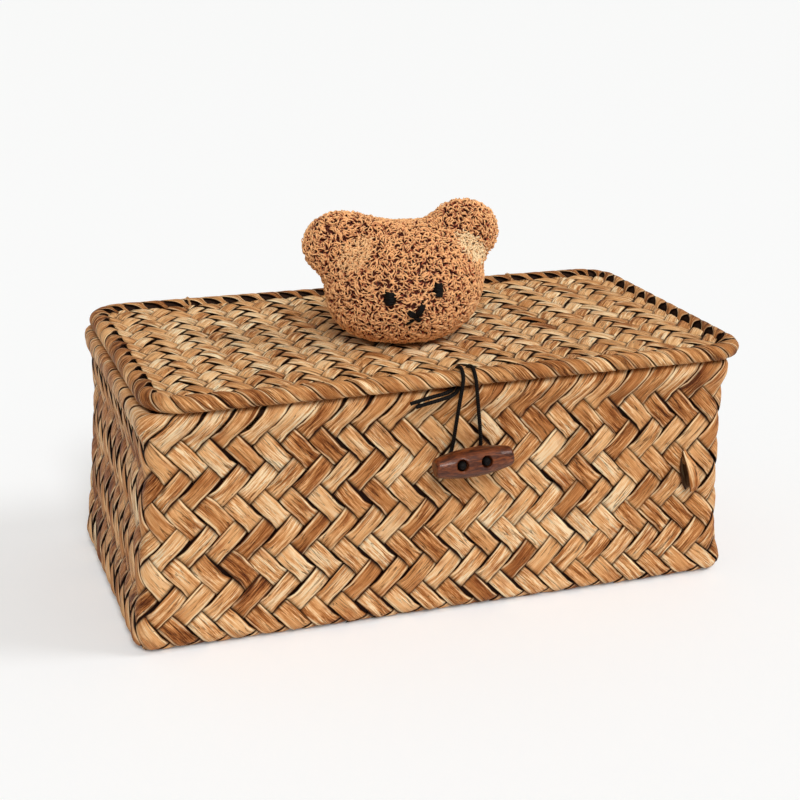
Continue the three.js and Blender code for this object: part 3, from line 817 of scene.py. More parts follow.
def ring_place(turn, sides, half_width, half_depth, middle, radius):
    """A point on a rounded outline and its outward direction. turn counts the strips."""
    turn = (turn - sides[0]) % (sides[-1] - sides[0]) + sides[0]
    side = np.searchsorted(sides[:-1], turn, side="right") - 1
    share = (turn - sides[side]) / np.diff(sides)[side]
    long_side = side % 2 == 0
    half_run = np.where(long_side, half_width, half_depth) - radius
    half_out = np.where(long_side, half_depth, half_width)
    corner = math.pi / 4 * radius
    run = share * (2 * half_run + 2 * corner) - (half_run + corner)
    bend = np.clip((np.abs(run) - half_run) / radius, 0, None) * np.sign(run)
    forth = np.clip(run, -half_run, half_run) + radius * np.sin(bend)
    out = half_out - radius * (1 - np.cos(bend))
    ahead = np.array([(1, 0), (0, 1), (-1, 0), (0, -1)])[side]
    away = np.array([(0, -1), (1, 0), (0, 1), (-1, 0)])[side]
    place = forth[:, None] * ahead + out[:, None] * away
    place[:, 0] += middle[0]
    place[:, 1] += middle[1]
    outward = np.sin(bend)[:, None] * ahead + np.cos(bend)[:, None] * away
    return place, outward


def wall_profile(climb, height):
    """How far inside the outline, and how high, a point of the wall's strips is."""
    bend = np.clip((base_edge - climb) / base_bend, 0, math.pi / 2)
    under = np.clip(base_edge - base_bend * math.pi / 2 - climb, 0, None)
    inset = base_edge - (base_bend + height) * np.cos(bend) + under
    level = base_edge - (base_bend + height) * np.sin(bend)
    level = np.where(climb > base_edge, climb, level)
    lift = smooth_step(climb, roll_approach, bead_height - 1)
    top_inset = roll_outset - roll_radius
    inset = np.where(climb > base_edge, mix(wall_middle, top_inset, lift) - height, inset)
    roll = np.clip((climb - bead_height) / roll_radius, 0, math.pi)
    rolled = climb > bead_height
    inset = np.where(rolled, roll_outset - (roll_radius + height) * np.cos(roll), inset)
    level = np.where(rolled, bead_height + (roll_radius + height) * np.sin(roll), level)
    tuck = np.clip(climb - bead_height - math.pi * roll_radius, 0, None)
    return inset - tuck_lean * tuck, level - tuck


def bulged(points):
    """Pushes the rim out on the left and the foot on the right, as the real box bulges."""
    high = smooth_step(points[:, 2], *rim_push_levels)
    points[:, 0] -= rim_push * (high * smooth_step(-points[:, 0], *rim_push_reach))
    low = 1 - smooth_step(points[:, 2], *foot_push_levels)
    points[:, 0] += foot_push * low * smooth_step(points[:, 0], *foot_push_reach)
    return points


def wall_place(turn, climb, height):
    """A point of the walls, from its place in the plait."""
    inset, level = wall_profile(climb, height)
    place, outward = ring_place(turn, wall_sides, *wall_outline(np.clip(level, 0, bead_height)))
    place = place - outward * inset[:, None]
    return bulged(np.column_stack([place, level]))


# %% [markdown]
# ## The walls
# Sixty-six strips of each family go round the box. Rows of lobes lean right and left in turn, and
# the row at the rim leans right. The strips that lean left end under the rim's row. The maker pulled
# the left wall less tight, so its strips are a little narrower for their room and its gaps show.
# Strips that lie behind on the outside lie in front on the inside, so the value that says how far a
# strip stands in front is turned round on the inner faces.

# %% Walls
wall_pitch = 13.35
wall_row = 14.3
wall_start = 9.0
wall_bottom = -2.6
right_leaning_top = 98.0
left_leaning_top = 107.5
wall_width_share = 0.97
left_wall_middle = 49.0
left_wall_reach = (6.0, 4.0)
left_wall_looseness = 0.07
run_per_climb = 1.4
wall_tones = 0.27


def wall_plait(leaning_right, low, high, steps, seed, width_share, looseness):
    """A family of the walls' strips from one height to another, and its place in the plait."""
    strips = Strips(strips_round, steps, 6, seed)
    span = 2 * (mix(low, high, strips.along) + wall_start) / wall_row
    own = strips.index.astype(float)
    other = own + span if leaning_right else own - span
    turn = ((own + other) / 2 - wall_sides[0]) % strips_round + wall_sides[0]
    loose = smooth_step(np.abs(turn - left_wall_middle), *left_wall_reach)
    across, up, front, half_width, section = plait_point(
        strips, leaning_right, own, other, wall_pitch, wall_row, width_share - looseness * loose,
        True,
    )
    run = strips.along * (high - low) * run_per_climb
    return strips, across, up * wall_row - wall_start, front, half_width, section, run


def wall_strips(name, leaning_right, high, steps, seed):
    """One family of the walls' strips, from under the base edge up to a height."""
    strips, across, level, front, half_width, section, run = wall_plait(
        leaning_right, wall_bottom, high, steps, seed, wall_width_share, left_wall_looseness,
    )
    height = strip_height(strips, front, section)
    tone = strip_tone(strips, section, wall_tones)
    points = wall_place(across, level, height)
    # how far in front each face shows, which steers the sedge's painted shade
    shown = strips.from_both_sides(front)
    piece = strips.piece(name, points, shown, tone, wall_sedge, run, half_width)
    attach(piece, "basket")
    return piece


wall_right = wall_strips("wall_strips_right", True, right_leaning_top, 74, 11)
wall_strips("wall_strips_left", False, left_leaning_top, 80, 12)
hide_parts("woven_basket")

# %% [markdown]
# ## The rolled rim
# Above the second row the right-leaning strips go on as the rim: they lie over the plait, roll over
# the wire and end inside. They are a piece of their own here, with finer steps for the tight bend.
# A roll of sedge fills the rim round the wire, so that nothing shows through the gaps between two
# strips; its dark colour is painted shade, as the gaps show it. At the front the rim is pressed down
# a little under the cord's tails, and at the back it is pressed flat where the opened lid comes to
# it.

# %% Rim
rim_low = 97.0
rim_tuck = 7.5
rim_high = bead_height + math.pi * roll_radius + rim_tuck
rim_width_share = 0.99
rim_roll_low = 107
rim_front = 0.35
rim_shown = 0.9
rim_skin = 0.6
rim_skin_lift = 0.12
front_side = -60
tail_dip_floor = 116.1
tail_dip_radius = 30.0
tail_dip_x = -0.8
tail_dip_low = 110
rim_top = 118.0
back_side = 70
back_press = 0.55
back_press_levels = ((100, 105), (111, 115))
core_radius = 2.6
core_dip = 1.2
core_dip_width = 9


def press_under_tails(points):
    """Lowers the front rim's top where the cord's tails cross it."""
    floor = tail_dip_floor + (points[:, 0] - tail_dip_x) ** 2 / (2 * tail_dip_radius)
    press = np.clip(rim_top - floor, 0, None) * smooth_step(points[:, 2], tail_dip_low, rim_top)
    points[:, 2] -= np.where(points[:, 1] < front_side, press, 0)
    return points


def press_at_back(points):
    """Flattens the back rim where the opened lid comes to it."""
    low, high = (smooth_step(points[:, 2], *levels) for levels in back_press_levels)
    points[:, 1] -= np.where(points[:, 1] > back_side, back_press * (low * (1 - high)), 0)
    return points


def rim_wraps():
    """The strips that cover the rim."""
    strips, across, level, front, half_width, section, run = wall_plait(
        True, rim_low, rim_high, 34, 11, rim_width_share, 0,
    )
    tone = strip_tone(strips, section, wall_tones)
    rolled = smooth_step(level, rim_roll_low, bead_height + 1)
    front = mix(front, rim_front, rolled)
    height = strip_height(strips, front, section)
    height = mix(height, (strips.outer - 0.5) * rim_skin + rim_skin_lift, rolled)
    points = press_at_back(press_under_tails(wall_place(across, level, height)))
    shown = mix(strips.from_both_sides(front), rim_shown, rolled)
    return strips.piece("rim_wraps", points, shown, tone, wall_sedge, run, half_width)


rim = rim_wraps()
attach(rim, "basket")


# the rolls round the wires and the band of cut ends under the lid are painted dark, as painted shade
# for the gaps above them
core_sedge_painted_shade = grained(
    "core_straw_painted_shade", (900, 3, 0.6), [(0.3, linear(22, 11, 5)), (0.7, linear(58, 32, 16))], 0.0005,
    Roughness=0.8, Specular_IOR_Level=0.2,
)


def rim_core():
    """The roll round the basket's wire."""
    turn = wall_sides[0] + np.linspace(0, strips_round, 265)
    level = np.full(len(turn), bead_height)
    place, outward = ring_place(turn, wall_sides, *wall_outline(level))
    centre = np.column_stack([place - outward * roll_outset, level])
    dip = core_dip * np.exp(-((centre[:, 0] - tail_dip_x) / core_dip_width) ** 2)
    centre[:, 2] -= np.where(centre[:, 1] < front_side, dip, 0)
    return closed_tube("rim_roll", bulged(centre), (core_radius, core_radius), 10, core_sedge_painted_shade)


basket_roll = rim_core()
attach(basket_roll, "basket")

# %% [markdown]
# ## The base
# Under the box the same strips cross as a flat mat. It is made as a plain rectangle of the plait,
# whose strips are cut where they reach the base's rounded outline: along each strip the first and
# last places inside that outline are looked for, and the strip is laid between them.

# %% Mats
shortest_strip = 0.8


def inside_rounded(x, y, half_width, half_depth, radius):
    """How far inside a rounded rectangle a point is. It is below zero outside."""
    past_x = np.abs(x) - (half_width - radius)
    past_y = np.abs(y) - (half_depth - radius)
    beyond = np.hypot(np.clip(past_x, 0, None), np.clip(past_y, 0, None))
    return radius - beyond - np.clip(np.maximum(past_x, past_y), None, 0)


def laid_between(strips, own, place_of, inside_of, reach):
    """The running number along each strip, cut where the strip leaves the outline."""
    trial = np.linspace(-reach, reach, 1600)
    other = np.zeros(len(own))
    lanes = np.unique(np.round(strips.across, 5))
    for index in range(strips.count):
        for lane in lanes:
            chosen = (strips.index == index) & (np.abs(strips.across - lane) < 1e-4)
            x, y = place_of(own[chosen][0], trial, lane)
            room = inside_of(x, y)
            good = trial[room >= 0]
            if len(good) < 2:
                good = trial[[np.argmax(room)]]
            other[chosen] = mix(good[0], good[-1], strips.along[chosen])
    return other


def mat_strips(name, leaning_right, plan, material, seed):
    """One family of a flat mat's strips. The plan holds the mat's pitches and outline."""
    slant = math.hypot(plan["pitch_x"], plan["pitch_y"])
    half_width = plan["pitch_x"] * plan["pitch_y"] / slant / 2 * plan["width_share"]
    side = 1 if leaning_right else -1
    numbers = np.arange(-plan["numbers"], plan["numbers"] + 1)

    def place_of(number, other, lane):
        offset = lane * half_width
        across = (number + other) / 2 + offset * plan["pitch_y"] / (slant * plan["pitch_x"])
        up = side * (other - number) / 2
        up = up - side * offset * plan["pitch_x"] / (slant * plan["pitch_y"])
        return plan["x_of"](across), up * plan["pitch_y"]

    def inside_of(x, y):
        return inside_rounded(
            x - plan["middle_x"], y - plan["middle_y"],
            plan["half_width"], plan["half_depth"], plan["radius"],
        )

    trial = np.linspace(-plan["reach"], plan["reach"], 800)
    kept = []
    for number in numbers:
        x, y = place_of(number, trial, 0.0)
        room = np.count_nonzero(inside_of(x, y) >= 0)
        if room * (trial[1] - trial[0]) > shortest_strip:
            kept.append(number)
    strips = Strips(len(kept), plan["steps"], plan["lanes"], seed)
    own = np.array(kept, dtype=float)[strips.index]
    other = laid_between(strips, own, place_of, inside_of, plan["reach"])
    across, up, front, half_width, section = plait_point(
        strips, leaning_right, own, other,
        plan["pitch_x"], plan["pitch_y"], plan["width_share"], plan["by_rows"],
    )
    height = strip_height(strips, front, section) * plan["flatness"]
    tone = strip_tone(strips, section, plan["tones"])
    points = np.column_stack([
        plan["x_of"](across), up * plan["pitch_y"], plan["level"] + height * plan["faces"],
    ])
    if plan["bulges"]:
        points = bulged(points)
    front = strips.from_both_sides(front)
    run = (other - own) * slant / 2
    return strips.piece(name, points, front, tone, material, run, half_width)


base_pitch = 13.3
base_plan = {
    "pitch_x": base_pitch, "pitch_y": 12.5, "width_share": 0.94, "by_rows": True, "numbers": 20,
    "reach": 24, "steps": 56, "lanes": 4, "flatness": 0.9, "faces": -1, "tones": wall_tones,
    "bulges": True, "x_of": lambda across: across * base_pitch,
    "middle_x": 0.0, "middle_y": base_middle_y, "half_width": 148.2, "half_depth": 70.4,
    "radius": 5.0, "level": wall_middle + 0.05,
}
base_right = mat_strips("base_strips_right", True, base_plan, wall_sedge, 21)
base_left = mat_strips("base_strips_left", False, base_plan, wall_sedge, 22)
for mat in (base_right, base_left):
    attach(mat, "basket")

# %% [markdown]
# ## The lid
# The lid is plaited finer. Its lobes stand in columns from front to back instead of rows, and the
# columns get a little wider to the right, as they do in the photograph. The panel's strips end
# inside the rolled edge.

# %% Lid panel
lid_left, lid_right = -146.6, 153.4
lid_front, lid_back = -83.35, 82.15
lid_radius = 20.5
lid_middle_x = (lid_left + lid_right) / 2
lid_middle_y = (lid_front + lid_back) / 2
lid_half_width = (lid_right - lid_left) / 2
lid_half_depth = (lid_back - lid_front) / 2
lid_bead_height = 122.6
lid_panel_height = 122.8
panel_margin = 9.4
column_start = -127.2
column_step = 17.7
column_growth = 0.115


def lid_column_x(across):
    """Where a column of the lid's plait is. Two pitches make one pair of columns."""
    pair = (across - 0.25) / 2 + 6
    return column_start + column_step * pair + column_growth * pair ** 2


lid_plan = {
    "pitch_x": 9.63, "pitch_y": 12.2, "width_share": 0.98, "by_rows": False, "numbers": 26,
    "reach": 28, "steps": 66, "lanes": 6, "flatness": 1.1, "faces": 1, "tones": 0.1,
    "bulges": False, "x_of": lid_column_x,
    "middle_x": lid_middle_x, "middle_y": lid_middle_y,
    "half_width": lid_half_width - panel_margin, "half_depth": lid_half_depth - panel_margin,
    "radius": lid_radius - panel_margin, "level": lid_panel_height,
}
lid_strips_right = mat_strips("lid_strips_right", True, lid_plan, lid_sedge, 31)
lid_strips_left = mat_strips("lid_strips_left", False, lid_plan, lid_sedge, 32)
for mat in (lid_strips_right, lid_strips_left):
    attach(mat, "lid")
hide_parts("woven_lid")

# %% [markdown]
# ## The lid's edge
# Eighty-two strips are wrapped slantwise over the lid's wire and dive into the panel, and where they
# dive they are painted darker, as painted shade. Under the lid their cut ends lie in a band painted
# dark as the shade seen through the gaps, and one flat strip is laid round over them as a binding,
# so that the opened lid shows no cut end. The wraps are spaced round the outline in the same way as
# the walls' strips.

# %% Lid edge
lid_sides = np.array([0, 28, 41, 69, 82])
lid_roll_radius = 3.45
wrap_over = 9.5
wrap_under = 6.5
wrap_width = 10.3
wrap_slant = 0.95
wrap_thickness = 0.6
wrap_thinning = 0.5
wrap_crown = 0.12
wrap_ridge = 0.06
wrap_tip = 0.3
wrap_tip_reach = (-0.5, 5.2)
wrap_shift = 0.05
wrap_half_width = 4.9
wrap_dive = 3.6
wrap_dive_reach = (2.0, 9.5)
wrap_tuck_rise = 1.6
ends_inset = 11.0
ends_height = 120.6
binding_height = 119.75


def lid_ring(turn):
    """A point on the lid's outline and its outward direction."""
    middle = (lid_middle_x, lid_middle_y)
    return ring_place(turn, lid_sides, lid_half_width, lid_half_depth, middle, lid_radius)


def lid_edge_wraps():
    """The strips that are wrapped over the lid's edge."""
    strips = Strips(int(lid_sides[-1]), 34, 6, 41)
    round_top = math.pi * lid_roll_radius
    run = strips.along * (wrap_over + round_top + wrap_under)
    flat = np.clip(wrap_over - run, 0, None)
    roll = np.clip((run - wrap_over) / lid_roll_radius, 0, math.pi)
    under = np.clip(run - wrap_over - round_top, 0, None)
    thick = (strips.outer - 0.5) * wrap_thickness * (1 - wrap_thinning * strips.across ** 4)
    thick += wrap_ridge * np.sin(strips.across * 4.5 + strips.per_strip(0, math.tau))
    radius = lid_roll_radius + thick + wrap_crown * (1 - strips.across ** 2)
    inset = bead_radius + flat + under - radius * np.sin(roll)
    dive = smooth_step(flat, *wrap_dive_reach)
    level = lid_bead_height + radius * np.cos(roll) - dive * wrap_dive
    level += smooth_step(under, 0, 5) * wrap_tuck_rise
    slant = (run - wrap_over - 0.5 * round_top) * wrap_slant / wrap_width
    narrow = mix(1.0, wrap_tip, smooth_step(flat, *wrap_tip_reach))
    turn = strips.index + 0.5 + slant + strips.across * 0.5 * narrow
    turn += strips.per_strip(-wrap_shift, wrap_shift)
    place, outward = lid_ring(turn)
    points = np.column_stack([place - outward * inset[:, None], level])
    tone = strips.per_strip(0.0, 0.5)
    # painted shade: the wrap gets darker where it dives into the panel
    front = 1 - dive * 1.1
    return strips.piece(
        "lid_wraps", points, front, tone, lid_sedge, run * run_per_climb, wrap_half_width,
    )


lid_edge = lid_edge_wraps()
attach(lid_edge, "lid")


def lid_tube(name, inset, level, radii, around, material):
    """A tube round the lid, this far inside its outline."""
    turn = np.linspace(0, lid_sides[-1], 329)
    place, outward = lid_ring(turn)
    centre = np.column_stack([place - outward * inset, np.full(len(turn), level)])
    return closed_tube(name, centre, radii, around, material)


core_radii = (core_radius, core_radius)
lid_roll = lid_tube("lid_roll", bead_radius, lid_bead_height, core_radii, 10, core_sedge_painted_shade)
lid_ends = lid_tube("lid_tucked_ends", ends_inset, ends_height, (5.0, 0.6), 8, core_sedge_painted_shade)
lid_under = lid_tube("lid_binding", ends_inset, binding_height, (5.2, 0.3), 12, lid_sedge)
for key, number in (("front", 1.0), ("tone", 0.5), ("edge", 0.0)):
    set_value(lid_under.data, key, np.full(len(lid_under.data.vertices), number))
for piece in (lid_roll, lid_ends, lid_under):
    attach(piece, "lid")
print("lid edge", triangles(lid_roll, lid_ends, lid_under), "triangles")

# %% [markdown]
# ## The hinge ties
# Two ties of twisted sedge join the lid to the back rim. Each is two thin strands that wind round
# each other, so each strand is a tube along a screw line round the tie's route. The ties are limp.

# %% Ties
tie_x = 92.0
tie_route = [
    (68.65, 113.55), (68.95, 112.95), (70.35, 108.70), (72.62, 108.10), (78.62, 108.10),
    (80.45, 113.40), (82.50, 118.30), (82.90, 122.60), (81.30, 125.40), (78.15, 126.55),
    (74.80, 125.40), (72.35, 124.00), (72.05, 121.30), (68.95, 119.65), (68.65, 118.75),
]
strand_radius = 0.4
strand_winding = 0.34
strand_pitch = 4.6


twisted_sedge = grained(
    "twisted_sedge", (1400, 4, 0.65),
    [(0.25, linear(112, 66, 32)), (0.5, linear(186, 136, 82)), (0.8, linear(232, 196, 144))],
    0.0003, Roughness=0.6,
)


def hinge_tie(side, x):
    """The two strands of one tie."""
    centre = smooth_route([(x, y, z) for y, z in tie_route], 0.5)
    sides, ups = carried_frames(centre)
    travelled = np.linspace(0, route_length(centre), len(centre))
    for number, start in enumerate((0, math.pi)):
        angle = travelled / strand_pitch * math.tau + start
        winding = np.cos(angle)[:, None] * sides + np.sin(angle)[:, None] * ups
        route = centre + strand_winding * winding
        name = f"tie_{side}_strand_{number + 1}"
        strand = tube_piece(name, route, strand_radius, 8, twisted_sedge)
        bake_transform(strand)
        if number == 0:
            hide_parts(f"hinge_tie_{side}")


hinge_tie("left", -tie_x)
hinge_tie("right", tie_x)
print("two ties of two strands each")

# %% [markdown]
# ## The toggle
# The toggle is turned from reddish-brown wood and polished. Its grain runs along it, so the noise
# is stretched in that direction. A clear coat gives the sharp highlight over the soft one. Polishing
# rounds every edge, so the toggle is a smooth copy of its imported solid with a new skin. The thread
# that carries it goes through the wall. The wires, knots and tack thread stay the imported solids
# and only get their materials here.

# %% Toggle
toggle_grain = 0.34
toggle_smoothing = 5
toggle_swell = 0.08


def polished_wood():
    """Dark red-brown wood with its grain along X, under a polish."""
    net = material_net("polished_wood")
    place = {"Vector": net.coordinates("Object"), "Scale": (60, 420, 420)}
    stretched = net.add("ShaderNodeMapping", place).outputs[0]
    grain = net.noise(stretched, 1.6, 5, 0.62, 0.5)
    pores = net.noise(stretched, 6.0, 2, 0.5)
    colour = net.ramp(net.plus(net.times(grain, 0.75), net.times(pores, 0.25)), [
        (0.34, linear(38, 15, 6)), (0.48, linear(84, 38, 16)), (0.62, linear(128, 66, 30)),
        (0.75, linear(158, 92, 48)),
    ])
    return net.finish(
        Base_Color=colour, Roughness=0.42, Specular_IOR_Level=0.25, Coat_Weight=0.25,
        Coat_Roughness=0.15, Normal=net.bump(pores, 0.00015),
    )


drawn_steel = grained(
    "drawn_wire", (800, 2, 0.5), [(0.3, linear(110, 108, 104)), (0.7, linear(160, 158, 152))], 0,
    Metallic=1.0, Roughness=0.4,
)
kept_pieces = {
    "basket_rim_wire": drawn_steel, "lid_rim_wire": drawn_steel,
    "hinge_tie_knot_left": twisted_sedge, "hinge_tie_knot_right": twisted_sedge,
    "toggle_knot_left": knot_thread, "toggle_knot_right": knot_thread,
    "cord_knot": knot_thread, "bear_tack_thread": knot_thread,
}
for node, material in kept_pieces.items():
    nodes[node].data.materials.clear()
    nodes[node].data.materials.append(material)
print(len(kept_pieces), "kept packed pieces dressed")

toggle_body = link_mesh("toggle_body", merged_solid(["toggle"]), polished_wood())
new_skin(toggle_body, toggle_grain, toggle_smoothing)
swell(toggle_body.data, toggle_swell)
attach(toggle_body, "toggle")
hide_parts("toggle")
print("toggle", triangles(toggle_body), "triangles")

shank = link_mesh("toggle_shank", merged_solid(["toggle_thread"]), knot_thread)
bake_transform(shank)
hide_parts("toggle_thread")
print("shank", triangles(shank), "triangles")

# %% [markdown]
# ## The curled strip end
# Near the right side of the front, one loose strip end stands out of the plait. It has dried into a
# half-closed curl, pointed at its top and open to the left. It starts as one flat strip and is
# rolled round a line that leans a little. The roll gets wider downwards.

# %% Curled strip end
curl_top = np.array([123.0, 71.2])
curl_foot = np.array([127.9, 51.0])
curl_wall = -73.95
curl_opening = (-0.85, 0.72)
curl_radii = (0.7, 4.1)
curl_closing = 1.2
curl_skin = 0.8
curl_length = 20


def curled_end():
    """The loose strip end, rolled into a curl in front of the wall."""
    strips = Strips(1, 40, 16, 45)
    along, across = strips.along, strips.across
    axis = (curl_foot - curl_top) / np.linalg.norm(curl_foot - curl_top)
    radius = mix(*curl_radii, smooth_step(along, -0.05, 0.5))
    radius -= curl_closing * smooth_step(along, 0.8, 1.0)
    angle = mix(*curl_opening, (across + 1) / 2) * math.pi
    skin = radius + (strips.outer - 0.5) * curl_skin + 0.12 * np.sin(across * 7 + along * 5)
    middle = curl_top + (curl_foot - curl_top) * along[:, None]
    side = skin * np.cos(angle)
    points = np.column_stack([
        middle[:, 0] - axis[1] * side,
        curl_wall + 0.5 - radius - skin * np.sin(angle),
        middle[:, 1] + axis[0] * side,
    ])
    # painted shade: the inner face is dark, as the curl's hollow is in shade
    front = np.where(strips.outer > 0.5, 1.0, 0.08)
    tone = np.full(len(along), 0.6)
    return strips.piece("curled_end", points, front, tone, wall_sedge, along * curl_length, 5.0)


curled = curled_end()
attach(curled, "basket")
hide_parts("curled_strip_end")

# %% [markdown]
# ## The bear's plush
# The head is sewn from plush with a curly pile and filled with fibre. Its cloth starts as the packed
# head and ears, joined into one sewn form with soft hollows at the ears' seams. It sags a little
# where it rests on the lid and is sunk by the depth of the pile. The pile is thousands of small
# curls. Each one is a tapered tube of three sides that rises from the cloth and rolls over, with a
# random size and direction. Painted shade at each curl's root and on the cloth beneath, and a
# painted highlight at its top, make the curls stand out from each other.

# %% Plush material
def plush(name, root_shade_colour, middle_colour, top_highlight_colour):
    """Curly pile: painted shade at the root, painted highlight at the top of each curl."""
    net = material_net(name)
    rise, tone = net.value("rise"), net.value("tone")
    fine = net.noise(net.coordinates("Object"), 1800, 3, 0.6)
    level = net.plus(net.times(rise, 0.8), net.times(tone, 0.3), net.times(fine, 0.2))
    colour = net.ramp(level, [(0.25, root_shade_colour), (0.54, middle_colour), (0.8, top_highlight_colour)])
    return net.finish(
        Base_Color=colour, Roughness=0.85, Sheen_Weight=0.08, Sheen_Roughness=0.5,
        Normal=net.bump(fine, 0.0004),
    )


head_plush = plush("head_plush", linear(58, 19, 5), linear(168, 68, 24), linear(255, 195, 134))
left_lining_plush = plush(
    "left_lining_plush", linear(190, 114, 62), linear(230, 160, 100), linear(254, 206, 150),
)
right_lining_plush = plush(
    "right_lining_plush", linear(210, 140, 84), linear(248, 192, 134), linear(255, 226, 180),
)
print("plush", head_plush.name, left_lining_plush.name, right_lining_plush.name)

# %% Plush cloth
lid_surface = 125.0
plush_grain = 1.7
seam_smoothing = 10
seam_fill = 7.0
smoothing_loss = 0.9
pile_depth = 1.3
sag_depth = 3.4
sag_low, sag_high = 126.0, 150.0
shoulder = np.array([-20.0, -14.0, 182.0])
shoulder_fill = 3.2
shoulder_size = 8.0
cloth_rise = 0.12
cloth_tone = 0.4


def middle_of(node):
    """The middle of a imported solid's box, in millimetres."""
    return sum(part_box(node), Vector()) / 2 / MM


def sewn_form(name, names, material):
    """Head and ears as one stuffed form, with soft hollows where the ears are sewn on.

    The solids are swollen before they are joined and shrunk afterwards, which fills the hollows.
    """
    piece = link_mesh(name, merged_solid(names), material)
    swell(piece.data, seam_fill)
    new_skin(piece, plush_grain, seam_smoothing)
    swell(piece.data, smoothing_loss - seam_fill)
    return piece


head_parts = ("bear_head", "bear_ear_left", "bear_ear_right")
lining_parts = ("bear_ear_lining_left", "bear_ear_lining_right")
head_form = sewn_form("bear_head_cloth", head_parts, head_plush)
head_middle = middle_of("bear_head")


def sag(points):
    """Lets the stuffing spread a little where the head rests on the lid."""
    away = points[:, :2] - np.array(head_middle)[:2]
    away /= np.linalg.norm(away, axis=1)[:, None] + 1e-9
    depth = sag_depth * (1 - smooth_step(points[:, 2], sag_low, sag_high))
    spread = smooth_step(points[:, 2], lid_surface - 2, lid_surface + 4)
    points[:, :2] += away * (depth * spread)[:, None]
    return points


def fill_shoulder(points, outward):
    """Stuffs the hollow between the head and its left ear a little fuller."""
    away = np.linalg.norm(points - shoulder, axis=1) / shoulder_size
    return points + outward * (shoulder_fill * np.exp(-away ** 2))[:, None]


form_points = sag(get_points(head_form.data) / MM)
form_points = fill_shoulder(form_points, get_directions(head_form.data))
set_points(head_form.data, form_points * MM)
form_normals = get_directions(head_form.data)
form_faces = np.array([list(face.vertices)[:4] for face in head_form.data.polygons])
form_tree = BVHTree.FromPolygons((form_points * MM).tolist(), form_faces.tolist())
print("head form", len(form_points), "points")


def sink(piece, depth):
    """Moves every point of the sewn form inwards, to leave room for the pile."""
    set_points(piece.data, (form_points - form_normals * depth) * MM)
    # the cloth under the pile takes the curls' painted root shade
    set_value(piece.data, "rise", np.full(len(form_points), cloth_rise))
    set_value(piece.data, "tone", np.full(len(form_points), cloth_tone))


sink(head_form, pile_depth)
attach(head_form, "lid")
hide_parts(*head_parts)

# %% [markdown]
# ## Where the curls grow
# Roots are scattered over the sewn form at random, in proportion to each face's area, and thinned
# so that no two are too close. The stitched eyes, nose and mouth stay clear, and inside the ears a
# paler and shorter pile grows instead.

# %% Roots
face_marks = [
    (middle_of(node), room)
    for node, room in (
        ("bear_eye_left", 2.6), ("bear_eye_right", 2.6), ("bear_nose", 2.4), ("bear_mouth", 1.8),
    )
]
lining_marks = [(-32.7, -22.6, 169.6), (24.3, -27.8, 171.0)]
lining_leans = [0.75, -0.75]
lining_reach = np.array([10.5, 12.0, 5.6])


def scatter(spacing, seed):
    """Random points on the sewn form, kept apart, with their outward directions."""
    random = np.random.default_rng(seed)
    corners = form_points[form_faces]
    diagonals = corners[:, 2] - corners[:, 0], corners[:, 3] - corners[:, 1]
    areas = np.linalg.norm(np.cross(*diagonals), axis=1) / 2
    tries = int(areas.sum() / spacing ** 2 * 4)
    chosen = random.choice(len(areas), size=tries, p=areas / areas.sum())
    u, v = random.random((2, tries, 1))
    quad = corners[chosen]
    low = quad[:, 0] * (1 - u) + quad[:, 1] * u
    high = quad[:, 3] * (1 - u) + quad[:, 2] * u
    roots = low * (1 - v) + high * v
    outward = form_normals[form_faces[chosen]].mean(axis=1)
    cells = np.floor(roots / spacing).astype(int)
    _, first = np.unique(cells, axis=0, return_index=True)
    first.sort()
    return roots[first], outward[first]


def in_lining(points):
    """Which ear's lining each point is in: 0 left, 1 right, -1 neither."""
    found = np.full(len(points), -1)
    for number, mark in enumerate(lining_marks):
        away = points - np.array(mark)
        lean = lining_leans[number]
        long = away[:, 0] * math.cos(lean) + away[:, 2] * math.sin(lean)
        wide = away[:, 2] * math.cos(lean) - away[:, 0] * math.sin(lean)
        share = np.column_stack([long, away[:, 1], wide]) / lining_reach
        found[(share ** 2).sum(axis=1) < 1] = number
    return found


def off_face(points):
    """True away from the stitched face and above the lid."""
    clear = points[:, 2] > lid_surface
    for mark, room in face_marks:
        clear &= np.linalg.norm(points - np.array(mark), axis=1) > room
    return clear


# %% The curls
curl_rings = 5
curl_sides = 3
uneven = (0.75, 1.3)
curl_sweep = (1.7, 3.6)
curl_drift = (-1.3, 1.3)
curl_lean = (-0.6, 0.6)
tip_taper = 0.75


